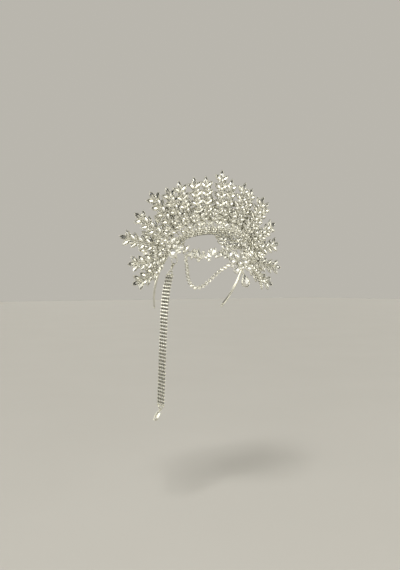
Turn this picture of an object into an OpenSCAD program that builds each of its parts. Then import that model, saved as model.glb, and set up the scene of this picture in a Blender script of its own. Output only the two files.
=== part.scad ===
// Bridal crown: a rhinestone leaf fan on a headband, with a forehead garland, swags, pendant and chin strap.
// Millimetres. The origin is the inside of the headband at its top, +Z up, the front faces -Y.

/* [Headband] */
// Inner radius over the top of the head
band_top_r = 145; // [120:5:170]
// Inner radius at the shoulders of the arch
band_shoulder_r = 48; // [44:1:52]
// Inner radius of the long sides
band_side_r = 145; // [120:5:180]
// Width of the metal strip, front to back
band_w = 5; // [4:0.5:7]
// Thickness of the metal strip
band_t = 1.2; // [0.8:0.1:1.6]
// How far the arch leans back from upright, in degrees
band_lean = 33; // [25:1:38]

/* [Leaves] */
// Length of a leaf setting
leaf_l = 14; // [12:0.5:15]
// Width of a leaf setting
leaf_w = 6.8; // [6:0.2:7.6]
// Angle between a leaf and its stem, in degrees
leaf_angle = 52; // [44:1:58]
// Distance between pairs of leaves along a stem
leaf_pitch = 12; // [11:0.5:13]
// Radius of a stem wire
stem_r = 0.9; // [0.7:0.05:1.1]
// Tilt of each leaf about its own length, in degrees
leaf_tilt = 9; // [0:1:12]

/* [Settings] */
// Height of a stone's metal cup
cup_h = 2.4; // [2.2:0.1:2.8]
// Wall of a cup
cup_wall = 0.6; // [0.5:0.05:0.8]
// Floor of a cup
cup_floor = 0.5; // [0.4:0.05:0.7]
// Space round a stone in its cup
stone_gap = 0.13; // [0.1:0.01:0.2]

/* [Swags] */
// Diameter of a swag chain
swag_d = 6; // [5:0.25:6.5]

/* [Pendant] */
// Length of the drop's setting
drop_l = 20.5; // [18:0.5:23]
// Width of the drop's setting
drop_w = 14; // [12:0.5:14]

/* [Strap] */
// Width of the four columns of stones
strap_w = 19; // [16:0.5:22]
// Thickness of the strap
strap_t = 2.6; // [2.4:0.1:3]

/* [Hidden] */
$fn = 48;
gap = 0.3;
post_r = 1;
wire_r = 0.7;
ring_wire_r = 0.6;
pad_r = 1.7;
pad_h = 1.6;
leaf_bow = 0.15;
web_back = 0.9;
web_hub_r = 3;
web_w = 1.8;
stud_r = 1.3;
stud_h = 1.6;
loop_stem_r = 0.75;

// Where the arcs of the arch meet, in degrees from its top, and their centres
shoulder_from = 15;
shoulder_to = 78;
arch_end = 113;
top_centre = [0, -band_top_r];
shoulder_centre = top_centre + (band_top_r - band_shoulder_r) * [sin(shoulder_from), cos(shoulder_from)];
side_centre = shoulder_centre + (band_shoulder_r - band_side_r) * [sin(shoulder_to), cos(shoulder_to)];

// Eyelet for a hairpin at each end of the band
eyelet_hole_r = 1.2;
eyelet_r = 2.5;
eyelet_h = 1.8;

// Sprays of the wearer's right side, from the top down, with the one in the middle first:
// place on the arch in degrees, tip, sideways bow, pairs of leaves, turn of the face to the side,
// and whether it stands in the front or the back row
//  place  tip                bow   pairs  turn  row
SPRAYS = [
    [0,    [0, -15, 91],       0.5,  4,     0,    1],
    [5,    [-24, -7, 81],      0.5,  4,     3,   -1],
    [10,   [-47, -10, 77],     1,    4,     6,    1],
    [15,   [-67, -1, 71],      2,    4,     9,   -1],
    [27,   [-89, -3, 60],      2,    4,     12,   1],
    [38,   [-108, 9, 54],      2,    4,     16,  -1],
    [50,   [-128, 16, 24],     3,    4,     20,   1],
    [62,   [-146, 27, -8],     2,    4,     22,  -1],
    [73,   [-140, 15, -47],    4,    4,     20,   1],
    [80,   [-129, 22, -75],    6,    3,     18,  -1],
];
row_offset = 1.3;

// Stones of the forehead garland on the wearer's right, from the temple to the middle:
// place round the forehead in degrees from the front, height, shape, length, width, turn
//  place  height  shape      l   w    turn
GARLAND = [
    [77,   -17,    "navette", 13, 6.8,  40],
    [70,   -26,    "navette", 14, 6.8,  55],
    [61,   -33,    "navette", 15, 7,    82],
    [53,   -32,    "pear",    15, 9,    90],
    [46.5, -36,    "round",   6,  6,    0],
    [40,   -33,    "pear",    13, 7,    90],
    [34,   -30,    "navette", 13, 6.4,  70],
    [28,   -34,    "navette", 14, 6.8,  50],
    [20,   -24.5,  "navette", 13, 6.4, -40],
];
garland_start = [-62.4, -1.8, -23];
garland_finish = [-1.4, -46.5, -24.5];
forehead = [59, 72];
forehead_y = 20;

// Stones of the temple cluster, in its own plane: across, up, shape, length, width, turn
TEMPLE = [
    [-2.3, -6,   "round",   13, 13,  0],
    [-9,    4,   "round",   8,  8,   0],
    [0.5,   4.5, "round",   7,  7,   0],
    [9,     2,   "round",   8,  8,   0],
    [-3,   12,   "navette", 13, 6.8, 70],
];
temple_at = [-69.4, 4.1, -25];
temple_turn = 50;

// Stones of the centre flower, in its own plane: across, up, shape, length, width, turn
FLOWER = [
    [0,     0,    "round",   8,  8,    0],
    [-11,   2.5,  "pear",    13, 8.6,  12],
    [-6.8, -9.4,  "pear",    13, 10,   55],
    [10,    2,    "navette", 13, 7.4, -15],
    [14.4, -7.4,  "navette", 14, 6.6, 175],
    [3.6,  -6.2,  "round",   5.4, 5.4, 0],
    [-15,   12.4, "navette", 14, 8,    68],
    [-3.5,  10.5, "navette", 13, 7,   -60],
];
flower_at = [0, -55, -46];
flower_slope = 14;

// Leaves between the band and the flower, on a wire that follows the forehead
crest_top = [0, -3.6, 0.6];
crest_foot = [0, -51, -34];
crest_bow = 9;
crest_pairs = 3;
crest_pitch = 12.5;
crest_leaf_from = 14;

// The pendant hangs by a ring from a loop under the flower
hang_loop_r = 1.3;
hang_wire_r = 0.45;
pendant_ring_r = 1.65;
hang_play = 0.3;
pendant_lean = 18;
flower_loop_at = [3.6, -57.6, -55.4];
drop_pocket_floor = 0.7;
drop_h = 3.4;

// Middle line of the swag chain on the wearer's right
SWAG = [
    [-57, -6, -32], [-56, -4, -40], [-58, -9, -49], [-61, -15, -58], [-63.5, -21, -67],
    [-63.5, -27, -75], [-60, -33, -79.5], [-54, -40, -78], [-48, -46, -72], [-41, -50.5, -64],
    [-33, -53.5, -57], [-25, -55.5, -51.5], [-18, -56.5, -47.5],
];
swag_sides = 10;
swag_step = 3;

// The strap hangs at the wearer's right: side profile of its middle as across and height, and its lean back
strap_lean = 2.8;
strap_top_y = 13.6;
STRAP = [
    [-72, -61], [-75, -72], [-77.4, -86], [-79, -101], [-80, -118], [-80.6, -140],
    [-81.1, -170], [-81.6, -205], [-82, -249],
];
arch_r = 5.4;
arch_wire_r = 0.8;
arch_sunk = 0.2;

// Small ring, clasp and oval ring at the strap's top, and the clasp at its foot, each a straight run from the
// strap's wire loop
upper_run = [0.3, -0.15, 0.94];
lower_run = [-0.5, 0.05, -0.86];
loop_r = 1.9;
ring_half_w = 4.9;
ring_half_h = 5;
clasp_upper_size = 0.62;
clasp_lower_size = 0.95;
jump_r = 2.1;
jump_wire_r = 0.45;
link_play = 0.12;

// Lobster clasp at full size: eye, body, claw, lever and its pin
clasp_t = 3.2;
eye_t = 1;
claw_at = 11;
claw_r = 4.1;
claw_hole_r = 2.5;
mouth_from = claw_at - 1.4;
mouth_h = 3.6;
eye_r = 2.1;
eye_hole_r = 1.2;
neck_at = 1.5;
pivot = [2, 5.6];
pin_r = 0.6;
lever_t = 1.2;
lever_tip = 12.6;
lever_eye_r = 1.25;
lever_play = 0.15;

function unit(v) = v / norm(v);

// A frame from its origin, its X direction and roughly its Z direction
function frame_z(x, z) = unit(z - (z * x) * x);
function frame(o, x, z) = let (n = frame_z(x, z), y = cross(n, x))
    [[x.x, y.x, n.x, o.x], [x.y, y.y, n.y, o.y], [x.z, y.z, n.z, o.z], [0, 0, 0, 1]];

// A point of the arch at an angle from its top, a distance out from its inside
function arch_xy(a, out = 0) =
    a <= shoulder_from ? top_centre + (band_top_r + out) * [sin(a), cos(a)]
    : a <= shoulder_to ? shoulder_centre + (band_shoulder_r + out) * [sin(a), cos(a)]
    : side_centre + (band_side_r + out) * [sin(a), cos(a)];

// From the plane of the arch to the part's frame, on the wearer's right
function from_arch(p, forward = 0) = [
    -p.x,
    -p.y * sin(band_lean) - forward * cos(band_lean),
    p.y * cos(band_lean) - forward * sin(band_lean)
];

// Shapes of settings and stones, 2D with the length along X
function navette_r(l, w) = (l * l + w * w) / (4 * w);
function navette_y(l, w, x) = let (r = navette_r(l, w)) sqrt(r * r - x * x) - r + w / 2;
function pear_angle(l, w) = acos((w / 2) / (l - w / 2));
function pear_centre(l, w) = (w - l) / 2;

module outline(shape, l, w) {
    if (shape == "round") {
        circle(w / 2);
    } else if (shape == "navette") {
        r = navette_r(l, w);
        intersection() {
            translate([0, r - w / 2]) circle(r);
            translate([0, w / 2 - r]) circle(r);
        }
    } else {
        a = pear_angle(l, w);
        translate([pear_centre(l, w), 0]) {
            circle(w / 2);
            polygon([[0, 0], w / 2 * [cos(a), -sin(a)], [l - w / 2, 0], w / 2 * [cos(a), sin(a)]]);
        }
    }
}

// Eight points of a stone's widest line, anticlockwise
function girdle(shape, l, w) =
    shape == "round" ? [for (i = [0:7]) w / 2 * [cos(45 * i), sin(45 * i)]]
    : shape == "navette" ? let (x = 0.3 * l, y = navette_y(l, w, 0.3 * l))
        [[l / 2, 0], [x, y], [0, w / 2], [-x, y], [-l / 2, 0], [-x, -y], [0, -w / 2], [x, -y]]
    : let (a = pear_angle(l, w), c = pear_centre(l, w), s = (180 - a) / 3)
        concat([[l / 2, 0]], [for (i = [0:6]) [c, 0] + w / 2 * [cos(a + s * i), sin(a + s * i)]]);

// A cut stone with its table up: a table, eight pairs of crown facets and eight below
module cut_stone(shape, l, w, floor_z, girdle_z, table_z) {
    side = w - 2 * cup_wall - 2 * stone_gap;
    long = l - (shape == "round" ? 2 : 3) * (cup_wall + stone_gap);
    g = girdle(shape, long, side);
    c = shape == "pear" ? [pear_centre(long, side), 0] : [0, 0];
    points = concat(
        [for (p = g) let (q = c + 0.55 * (p - c)) [q.x, q.y, table_z]],
        [for (p = g) [p.x, p.y, girdle_z]],
        [[c.x, c.y, floor_z]]
    );
    faces = concat(
        [[7, 6, 5, 4, 3, 2, 1, 0]],
        [for (i = [0:7]) let (j = (i + 1) % 8) [i, j, 8 + j]],
        [for (i = [0:7]) let (j = (i + 1) % 8) [i, 8 + j, 8 + i]],
        [for (i = [0:7]) let (j = (i + 1) % 8) [8 + i, 8 + j, 16]]
    );
    polyhedron(points, faces);
}

module small_stone(shape, l, w) {
    cut_stone(shape, l, w, cup_floor + stone_gap, cup_h - 0.5, cup_h + 0.9);
}

module cup_outside(shape, l, w) {
    linear_extrude(cup_h) outline(shape, l, w);
}

module cup_pocket(shape, l, w) {
    tip = shape == "round" ? 2 : 2.7;
    translate([0, 0, cup_floor])
        linear_extrude(cup_h) outline(shape, l - tip * cup_wall, w - 2 * cup_wall);
}

module setting(shape, l, w) {
    difference() {
        cup_outside(shape, l, w);
        cup_pocket(shape, l, w);
    }
}

// A flat web behind a cluster of cups, with an arm to each one
module web(stones) {
    translate([0, 0, -web_back])
        linear_extrude(web_back + cup_floor / 2) {
            circle(web_hub_r);
            for (t = stones)
                if (norm([t[0], t[1]]) > web_hub_r)
                    rotate(atan2(t[1], t[0])) translate([0, -web_w / 2]) square([norm([t[0], t[1]]), web_w]);
        }
}

module rod(p, q, r) {
    multmatrix(frame(p, unit(cross(q - p, abs(unit(q - p).z) < 0.9 ? [0, 0, 1] : [1, 0, 0])), q - p))
        cylinder(r = r, h = norm(q - p));
}

// A wire ring in the XZ plane, oval where its halves differ
module wire_ring(half_w, half_h, wire) {
    straight = half_h - half_w;
    for (up = [1, -1]) {
        translate([0, 0, up * straight])
            rotate([90, up > 0 ? 0 : 180, 0])
                rotate_extrude(angle = 180) translate([half_w, 0]) circle(wire);
    }
    if (straight > 0.01) {
        for (side = [1, -1])
            translate([side * half_w, 0, -straight]) cylinder(r = wire, h = 2 * straight);
    }
}

// Half of the arch's line from its top down, a distance out from its inside, and the whole line
function steps(from, to, n) = [for (i = [0:n - 1]) from + (to - from) * i / n];
arch_steps = concat(
    steps(0, shoulder_from, 6), steps(shoulder_from, shoulder_to, 16), steps(shoulder_to, arch_end, 8), [arch_end]
);
function half_arch(out) = [for (a = arch_steps) arch_xy(a, out)];
function arch_line(out) = let (half = half_arch(out)) concat(
    [for (i = [len(half) - 1:-1:1]) [-half[i].x, half[i].y]], half
);

module headband() {
    inside = arch_line(0);
    color("silver")
    rotate([90 + band_lean, 0, 0]) {
        linear_extrude(band_w, center = true)
            polygon(concat(arch_line(band_t), [for (i = [len(inside) - 1:-1:0]) inside[i]]));
        for (side = [0, 1]) mirror([side, 0, 0]) band_eyelet();
    }
}

// A ring for a hairpin, on the end of the band
module band_eyelet() {
    end = arch_xy(arch_end, band_t / 2);
    along = [cos(arch_end), -sin(arch_end)];
    c = end + (eyelet_r - 0.4) * along;
    translate([c.x, c.y, 0])
        rotate(90 - arch_end)
            rotate([0, 90, 0])
                translate([0, 0, -eyelet_h / 2])
                    difference() {
                        cylinder(r = eyelet_r, h = eyelet_h);
                        translate([0, 0, -1]) cylinder(r = eyelet_hole_r, h = eyelet_h + 2);
                    }
}

// Foot of a spray: the middle of its pad over the band
function spray_foot(s) = from_arch(arch_xy(s[0], band_t + gap + pad_h / 2 + 0.5), s[5] * row_offset);
function spray_length(s) = norm(s[1] - spray_foot(s));
function spray_arc_r(s) = let (c = spray_length(s)) (c * c / 4 + s[2] * s[2]) / (2 * s[2]);
function spray_half(s) = asin(spray_length(s) / 2 / spray_arc_r(s));
function spray_face(s) = [-sin(s[4]), -cos(s[4]), 0];
// A point of a spray's wire and its direction, at a distance along it
function stem_turn(s, d) = d / spray_arc_r(s) * 180 / PI - spray_half(s);
function stem_point(s, d) = let (r = spray_arc_r(s), a = stem_turn(s, d))
    [spray_length(s) / 2 + r * sin(a), r * cos(a) - r + s[2]];
function stem_end(s) = 2 * spray_half(s) * PI / 180 * spray_arc_r(s) - leaf_l + 1;
// Leaves of a spray: where each one starts, its direction and its tilt
function spray_leaves(s) = concat(
    [[stem_point(s, stem_end(s) - 0.8), -stem_turn(s, stem_end(s)), 0]],
    [for (k = [0:s[3] - 1], side = [1, -1])
        let (d = stem_end(s) - 3 - leaf_pitch * k)
        [stem_point(s, d), -stem_turn(s, d) + side * leaf_angle, side * leaf_tilt]]
);

module in_spray(s) {
    foot = spray_foot(s);
    multmatrix(frame(foot, unit(s[1] - foot), spray_face(s))) children();
}

module at_leaves(s) {
    for (leaf = spray_leaves(s))
        translate([leaf[0].x, leaf[0].y, 0])
            rotate(leaf[1])
                rotate([leaf[2], 0, 0])
                    translate([leaf_l / 2 + leaf_bow, 0, -cup_h / 2])
                        children();
}

module spray(s) {
    color("silver") {
        in_spray(s) {
            r = spray_arc_r(s);
            last = stem_turn(s, stem_end(s));
            translate([spray_length(s) / 2, s[2] - r, 0])
                rotate(90 - last)
                    rotate_extrude(angle = last + spray_half(s))
                        translate([r, 0]) circle(stem_r);
            at_leaves(s) setting("navette", leaf_l, leaf_w);
        }
        spray_pad(s);
    }
}

module spray_pad(s) {
    low = from_arch(arch_xy(s[0], band_t + gap), s[5] * row_offset);
    high = from_arch(arch_xy(s[0], band_t + gap + pad_h), s[5] * row_offset);
    rod(low, high, pad_r);
}

module spray_stones(s) {
    in_spray(s) at_leaves(s) small_stone("navette", leaf_l, leaf_w);
}

module fan_stones_right() {
    color("white") {
        for (i = [1:9]) spray_stones(SPRAYS[i]);
    }
}

module fan_stones_left() {
    color("white") {
        spray_stones(SPRAYS[0]);
        mirror([1, 0, 0]) for (i = [1:9]) spray_stones(SPRAYS[i]);
    }
}

// The forehead garland: a point of it, its outward direction and the direction round the head
function forehead_at(g) = [-forehead.x * sin(g[0]), forehead_y - forehead.y * cos(g[0]), g[1]];
function forehead_out(a) = unit([-sin(a) / forehead.x, -cos(a) / forehead.y, 0.25 / forehead.y]);
function forehead_round(a) = unit([forehead.x * cos(a), -forehead.y * sin(a), 0]);

module in_garland(g) {
    multmatrix(frame(forehead_at(g), forehead_round(g[0]), forehead_out(g[0])))
        rotate(g[5])
            children();
}

// Back of a stone of the garland, where its wire runs, and the wire's end short of there
function garland_back(i) = forehead_at(GARLAND[i]) - 0.8 * forehead_out(GARLAND[i][0]);
function short_of(p, q) = p + 0.5 * unit(q - p);

module garland_right() {
    last = len(GARLAND) - 1;
    color("silver") {
        for (g = GARLAND) in_garland(g) {
            setting(g[2], g[3], g[4]);
            translate([0, 0, -stud_h]) cylinder(r = stud_r, h = stud_h + cup_floor / 2);
        }
        for (i = [1:last])
            rod(short_of(garland_back(i - 1), garland_back(i)), short_of(garland_back(i), garland_back(i - 1)), wire_r);
        rod(short_of(garland_back(0), garland_start), garland_start, wire_r);
        rod(short_of(garland_back(last), garland_finish), garland_finish, wire_r);
    }
}

module garland_stones_right() {
    color("white") for (g = GARLAND) in_garland(g) small_stone(g[2], g[3], g[4]);
}

// The temple cluster's plane and a point of it
function temple_out() = [-sin(temple_turn), -cos(temple_turn), 0];
function temple_across() = [cos(temple_turn), -sin(temple_turn), 0];
function temple_point(t, out = 0) = temple_at + t[0] * temple_across() + [0, 0, t[1]] + out * temple_out();

module in_plane(at, across, out, t) {
    multmatrix(frame(at, across, out))
        translate([t[0], t[1], 0])
            rotate(t[5])
                children();
}

module temple_right() {
    band_front = from_arch(arch_xy(60, band_t / 2), band_w / 2 + gap);
    color("silver") {
        for (t = TEMPLE) in_plane(temple_at, temple_across(), temple_out(), t) setting(t[2], t[3], t[4]);
        multmatrix(frame(temple_at, temple_across(), temple_out())) web(TEMPLE);
        rod(temple_at - 0.4 * temple_out(), band_front, post_r);
        multmatrix(run_frame(temple_loop_at, unit(upper_run))) rotate(90) wire_ring(loop_r, loop_r, ring_wire_r);
        rod(temple_loop_at + loop_r * unit(upper_run), temple_point(TEMPLE[0], 0.2), loop_stem_r);
    }
}

module temple_stones_right() {
    color("white")
    for (t = TEMPLE) in_plane(temple_at, temple_across(), temple_out(), t) small_stone(t[2], t[3], t[4]);
}

function flower_out() = [0, -cos(flower_slope), sin(flower_slope)];

module flower() {
    color("silver") {
        for (f = FLOWER) in_plane(flower_at, [1, 0, 0], flower_out(), f) setting(f[2], f[3], f[4]);
        multmatrix(frame(flower_at, [1, 0, 0], flower_out())) web(FLOWER);
        translate(flower_loop_at) rotate(90) wire_ring(hang_loop_r, hang_loop_r, hang_wire_r);
    }
}

module flower_stones() {
    color("white")
    for (f = FLOWER) in_plane(flower_at, [1, 0, 0], flower_out(), f) small_stone(f[2], f[3], f[4]);
}

// The crest: a wire in the middle plane, bowed over the forehead, from the flower up to the band
crest_length = norm(crest_top - crest_foot);
crest_arc_r = (crest_length * crest_length / 4 + crest_bow * crest_bow) / (2 * crest_bow);
crest_half = asin(crest_length / 2 / crest_arc_r);

module in_crest() {
    multmatrix(frame(crest_foot, unit(crest_top - crest_foot), [0, -0.6, 0.8])) children();
}

module at_crest_leaves() {
    in_crest()
    for (k = [0:crest_pairs - 1], side = [1, -1]) {
        a = (crest_leaf_from + crest_pitch * k) / crest_arc_r * 180 / PI - crest_half;
        translate([crest_length / 2 + crest_arc_r * sin(a), 0, crest_arc_r * cos(a) - crest_arc_r + crest_bow])
            rotate([0, a, 0])
                rotate(side * (leaf_angle + 8))
                    rotate([side * leaf_tilt, 0, 0])
                        translate([leaf_l / 2 + leaf_bow, 0, -cup_h / 2])
                            children();
    }
}

module crest() {
    color("silver") {
        in_crest()
            translate([crest_length / 2, 0, crest_bow - crest_arc_r])
                rotate([90, 0, 0])
                    rotate(90 - crest_half)
                        rotate_extrude(angle = 2 * crest_half)
                            translate([crest_arc_r, 0]) circle(stem_r);
        at_crest_leaves() setting("navette", leaf_l, leaf_w);
    }
}

module crest_stones() {
    color("white") at_crest_leaves() small_stone("navette", leaf_l, leaf_w);
}

// The pendant turns about the wire of its ring, where that lies in the flower's loop
pendant_pivot = flower_loop_at - [0, 0, hang_loop_r - 2 * hang_wire_r - hang_play];
drop_loop_at = [0, 0, -2 * pendant_ring_r - (hang_loop_r - 2 * hang_wire_r - hang_play)];

module in_drop() {
    translate(pendant_pivot)
        rotate([0, -pendant_lean, 0])
            translate(drop_loop_at)
                children();
}

module at_drop() {
    in_drop()
        translate([0, drop_h / 2, -hang_loop_r - drop_l / 2 + 0.3])
            rotate([90, 0, 0])
                rotate(90)
                    children();
}

module pendant_setting() {
    color("silver") {
        in_drop() rotate(90) wire_ring(hang_loop_r, hang_loop_r, hang_wire_r);
        at_drop()
            difference() {
                linear_extrude(drop_h) outline("pear", drop_l, drop_w);
                translate([0, 0, drop_pocket_floor])
                    linear_extrude(drop_h) outline("pear", drop_l - 2.7 * cup_wall, drop_w - 2 * cup_wall);
            }
    }
}

module pendant_stone() {
    color("white")
    at_drop() cut_stone("pear", drop_l, drop_w, drop_pocket_floor + stone_gap, drop_h - 0.5, drop_h + 1.6);
}

module pendant_ring() {
    color("silver")
    translate(pendant_pivot)
        rotate([0, -pendant_lean, 0])
            translate([0, 0, -pendant_ring_r])
                wire_ring(pendant_ring_r, pendant_ring_r, hang_wire_r);
}

// A tube round a line of points, with flat ends
module tube(line, r, sides) {
    n = len(line);
    points = [for (i = [0:n - 1]) let (
        t = unit(line[min(i + 1, n - 1)] - line[max(i - 1, 0)]),
        u = unit(cross(t, [0.3, 0.2, 1])),
        v = cross(t, u)
    ) each [for (k = [0:sides - 1]) line[i] + r * (cos(360 * k / sides) * u + sin(360 * k / sides) * v)]];
    faces = concat(
        [[for (k = [0:sides - 1]) k]],
        [[for (k = [sides - 1:-1:0]) (n - 1) * sides + k]],
        [for (i = [0:n - 2], k = [0:sides - 1]) let (a = i * sides + k, b = i * sides + (k + 1) % sides)
            [a, a + sides, b]],
        [for (i = [0:n - 2], k = [0:sides - 1]) let (a = i * sides + k, b = i * sides + (k + 1) % sides)
            [b, a + sides, b + sides]]
    );
    polyhedron(points, faces);
}

// Points between the route's points, on a smooth curve through them
function between(p, i, f) = let (
    n = len(p) - 1, a = p[max(i - 1, 0)], b = p[i], c = p[i + 1], d = p[min(i + 2, n)]
) 0.5 * (2 * b + (c - a) * f + (2 * a - 5 * b + 4 * c - d) * f * f + (3 * b - a - 3 * c + d) * f * f * f);
function smooth(p, steps) = concat(
    [for (i = [0:len(p) - 2], k = [0:steps - 1]) between(p, i, k / steps)], [p[len(p) - 1]]
);

module swag_right() {
    color("silver") tube(smooth(SWAG, swag_step), swag_d / 2, swag_sides);
}

// The strap's frame, from its side profile: X across, Y up, extruded through its width
module in_strap() {
    translate([0, strap_top_y, STRAP[0].y])
        rotate([strap_lean, 0, 0])
            translate([0, 0, -STRAP[0].y])
                rotate([90, 0, 0])
                    children();
}

function strap_side(line, off) = [for (i = [0:len(line) - 1]) let (
    t = unit(line[min(i + 1, len(line) - 1)] - line[max(i - 1, 0)])
) line[i] + off * [-t.y, t.x]];

module strap() {
    line = smooth(STRAP, 2);
    n = len(line) - 1;
    color("silver") in_strap() {
        linear_extrude(strap_w, center = true)
            polygon(concat(strap_side(line, strap_t / 2), [for (i = [n:-1:0]) strap_side(line, -strap_t / 2)[i]]));
        strap_arch(line[0], unit(line[0] - line[1]));
        strap_arch(line[n], unit(line[n] - line[n - 1]));
    }
}

// The wire loop on an end of the strap
module strap_arch(at, along) {
    translate([at.x, at.y, 0])
        rotate(atan2(along.y, along.x) - 90)
            rotate([0, 90, 0])
                translate([0, -arch_sunk, 0])
                    rotate_extrude(angle = 180) translate([arch_r, 0]) circle(arch_wire_r);
}

// Middle of a strap loop's wire, at its top or foot
strap_last = len(STRAP) - 1;
function strap_place(p) = [
    p.x,
    strap_top_y - (p.y - STRAP[0].y) * sin(strap_lean),
    STRAP[0].y + (p.y - STRAP[0].y) * cos(strap_lean)
];
function loop_wire(i, j) = strap_place(STRAP[i] + (arch_r - arch_sunk) * unit(STRAP[i] - STRAP[j]));

// Along a run, from the middle of the strap loop's wire: small ring, clasp's eye and claw, oval ring, fixed loop
function run_frame(at, along) = frame(at, unit(cross([0, 1, 0], along)), along);
function eye_at(size) = 2 * jump_r + eye_hole_r * size - 2 * jump_wire_r - arch_wire_r - 2 * link_play;
jump_at = jump_r - jump_wire_r - arch_wire_r - link_play;
ring_at = eye_at(clasp_upper_size) + (claw_at + claw_hole_r) * clasp_upper_size - ring_wire_r - link_play
    + ring_half_h;
fixed_loop_at = ring_at + ring_half_h + loop_r - 2 * ring_wire_r - link_play;
upper_frame = run_frame(loop_wire(0, 1), unit(upper_run));
lower_frame = run_frame(loop_wire(strap_last, strap_last - 1), unit(lower_run));
temple_loop_at = loop_wire(0, 1) + fixed_loop_at * unit(upper_run);

module jump_ring(run) {
    color("silver") multmatrix(run) translate([0, 0, jump_at]) wire_ring(jump_r, jump_r, jump_wire_r);
}

module ring_right() {
    color("silver") multmatrix(upper_frame) translate([0, 0, ring_at]) wire_ring(ring_half_w, ring_half_h, ring_wire_r);
}

module in_clasp(run, size) {
    multmatrix(run)
        translate([0, 0, eye_at(size)])
            rotate([90, 0, 90])
                scale(size)
                    children();
}

// Lobster clasp in its own plane: the eye at the origin, the claw up the Y axis, the lever on +X
module clasp_outline() {
    difference() {
        union() {
            translate([0, claw_at]) circle(claw_r);
            polygon([
                [-1.8, neck_at], [1.8, neck_at], [3.4, 5],
                [claw_r - 0.5, claw_at - 2], [-claw_r + 0.2, claw_at - 1], [-3, 4]
            ]);
        }
        translate([0, claw_at]) circle(claw_hole_r);
        translate([0, claw_at - 3]) square([2 * claw_hole_r - 2, 4], center = true);
    }
}

module eye_outline() {
    difference() {
        circle(eye_r);
        circle(eye_hole_r);
    }
}

// Slot of the lever, from its pin up along the claw's open side
module lever_room() {
    translate([0, mouth_from]) square([claw_r + 1, mouth_h]);
    translate([pivot.x - 1.4, pivot.y - 1.5]) square([claw_r + 1, mouth_from - pivot.y + 1.6]);
}

module clasp() {
    slot = lever_t + 2 * lever_play;
    color("silver") difference() {
        translate([0, 0, -clasp_t / 2]) linear_extrude(clasp_t) clasp_outline();
        translate([0, 0, -slot / 2]) linear_extrude(slot) lever_room();
        translate([0, mouth_from, -clasp_t]) cube([claw_r + 1, mouth_h, 2 * clasp_t]);
    }
    color("silver") translate([0, 0, -eye_t / 2]) linear_extrude(eye_t) eye_outline();
    color("silver") translate([pivot.x, pivot.y, -clasp_t / 2 + 0.2]) cylinder(r = pin_r, h = clasp_t - 0.4);
}

module clasp_lever() {
    color("silver") difference() {
        translate([0, 0, -lever_t / 2])
            linear_extrude(lever_t) {
                translate(pivot) circle(lever_eye_r);
                polygon([
                    [1.4, pivot.y + 0.4], [3.2, pivot.y - 0.2], [4.4, 8], [claw_r + 0.1, lever_tip],
                    [claw_r - 1.1, lever_tip], [2.9, 8.6]
                ]);
            }
        translate([pivot.x, pivot.y, -lever_t]) cylinder(r = pin_r + lever_play, h = 2 * lever_t);
    }
}

headband();
spray(SPRAYS[0]);  // spray_centre
for (i = [1:9]) {
    spray(SPRAYS[i]);
    mirror([1, 0, 0]) spray(SPRAYS[i]);
}
fan_stones_right();
fan_stones_left();
crest();
crest_stones();
garland_right();
mirror([1, 0, 0]) garland_right();  // garland_left
garland_stones_right();
mirror([1, 0, 0]) garland_stones_right();  // garland_stones_left
temple_right();
mirror([1, 0, 0]) temple_right();  // temple_left
temple_stones_right();
mirror([1, 0, 0]) temple_stones_right();  // temple_stones_left
flower();
flower_stones();
pendant_setting();
pendant_stone();
pendant_ring();
swag_right();
mirror([1, 0, 0]) swag_right();  // swag_left
ring_right();
mirror([1, 0, 0]) ring_right();  // ring_left
strap();
in_clasp(upper_frame, clasp_upper_size) clasp();  // clasp_upper
in_clasp(upper_frame, clasp_upper_size) clasp_lever();  // clasp_lever_upper
jump_ring(upper_frame);  // jump_ring_upper
in_clasp(lower_frame, clasp_lower_size) clasp();  // clasp_lower
in_clasp(lower_frame, clasp_lower_size) clasp_lever();  // clasp_lever_lower
jump_ring(lower_frame);  // jump_ring_lower
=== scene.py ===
"""Bridal crown: cut stones in clawed cups, twisted stems, cup chains, and the looks of metal and stone."""
import math
from functools import cache

import bmesh
import bpy
import numpy as np
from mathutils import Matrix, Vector


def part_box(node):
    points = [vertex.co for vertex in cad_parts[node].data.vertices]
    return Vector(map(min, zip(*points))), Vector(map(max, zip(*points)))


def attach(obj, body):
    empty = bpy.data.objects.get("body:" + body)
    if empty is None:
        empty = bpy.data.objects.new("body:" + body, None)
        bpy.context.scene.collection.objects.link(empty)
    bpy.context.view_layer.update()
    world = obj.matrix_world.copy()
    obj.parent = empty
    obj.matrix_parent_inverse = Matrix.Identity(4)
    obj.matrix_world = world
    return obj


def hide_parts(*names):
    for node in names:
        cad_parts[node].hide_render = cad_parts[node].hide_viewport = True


# The crown's own sizes are in millimetres, the camera and the stage in metres
MM = 0.001

# Camera: 35 degrees to the wearer's right of the front, level, 1 m from its aim
AIM = (-0.010, 0.027, -0.076)
CAMERA_DISTANCE = 1.0
CAMERA_AZIMUTH = -35
CAMERA_LENS = 42.1
SENSOR_W = 36

# Stage: floor, backdrop, sun, and each area light's place, power, width and height
FLOOR_Z = -0.40
FLOOR_HALF = 12
BACKDROP = (0.487, 0.468, 0.42, 1)
SUN_STRENGTH = 2.55
SUN_WIDTH = 20
SUN_TURN = (35, 0, -50)
AREA_LIGHTS = (
    ("key_light", (-1.3, -1.1, 0.5), 6, 0.9, 0.9),
    ("side_light", (1.05, -1.25, 0.36), 1.9, 0.55, 1.0),
    ("low_light", (-1.45, -0.65, 0.0), 0.45, 0.4, 0.4),
)

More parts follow.
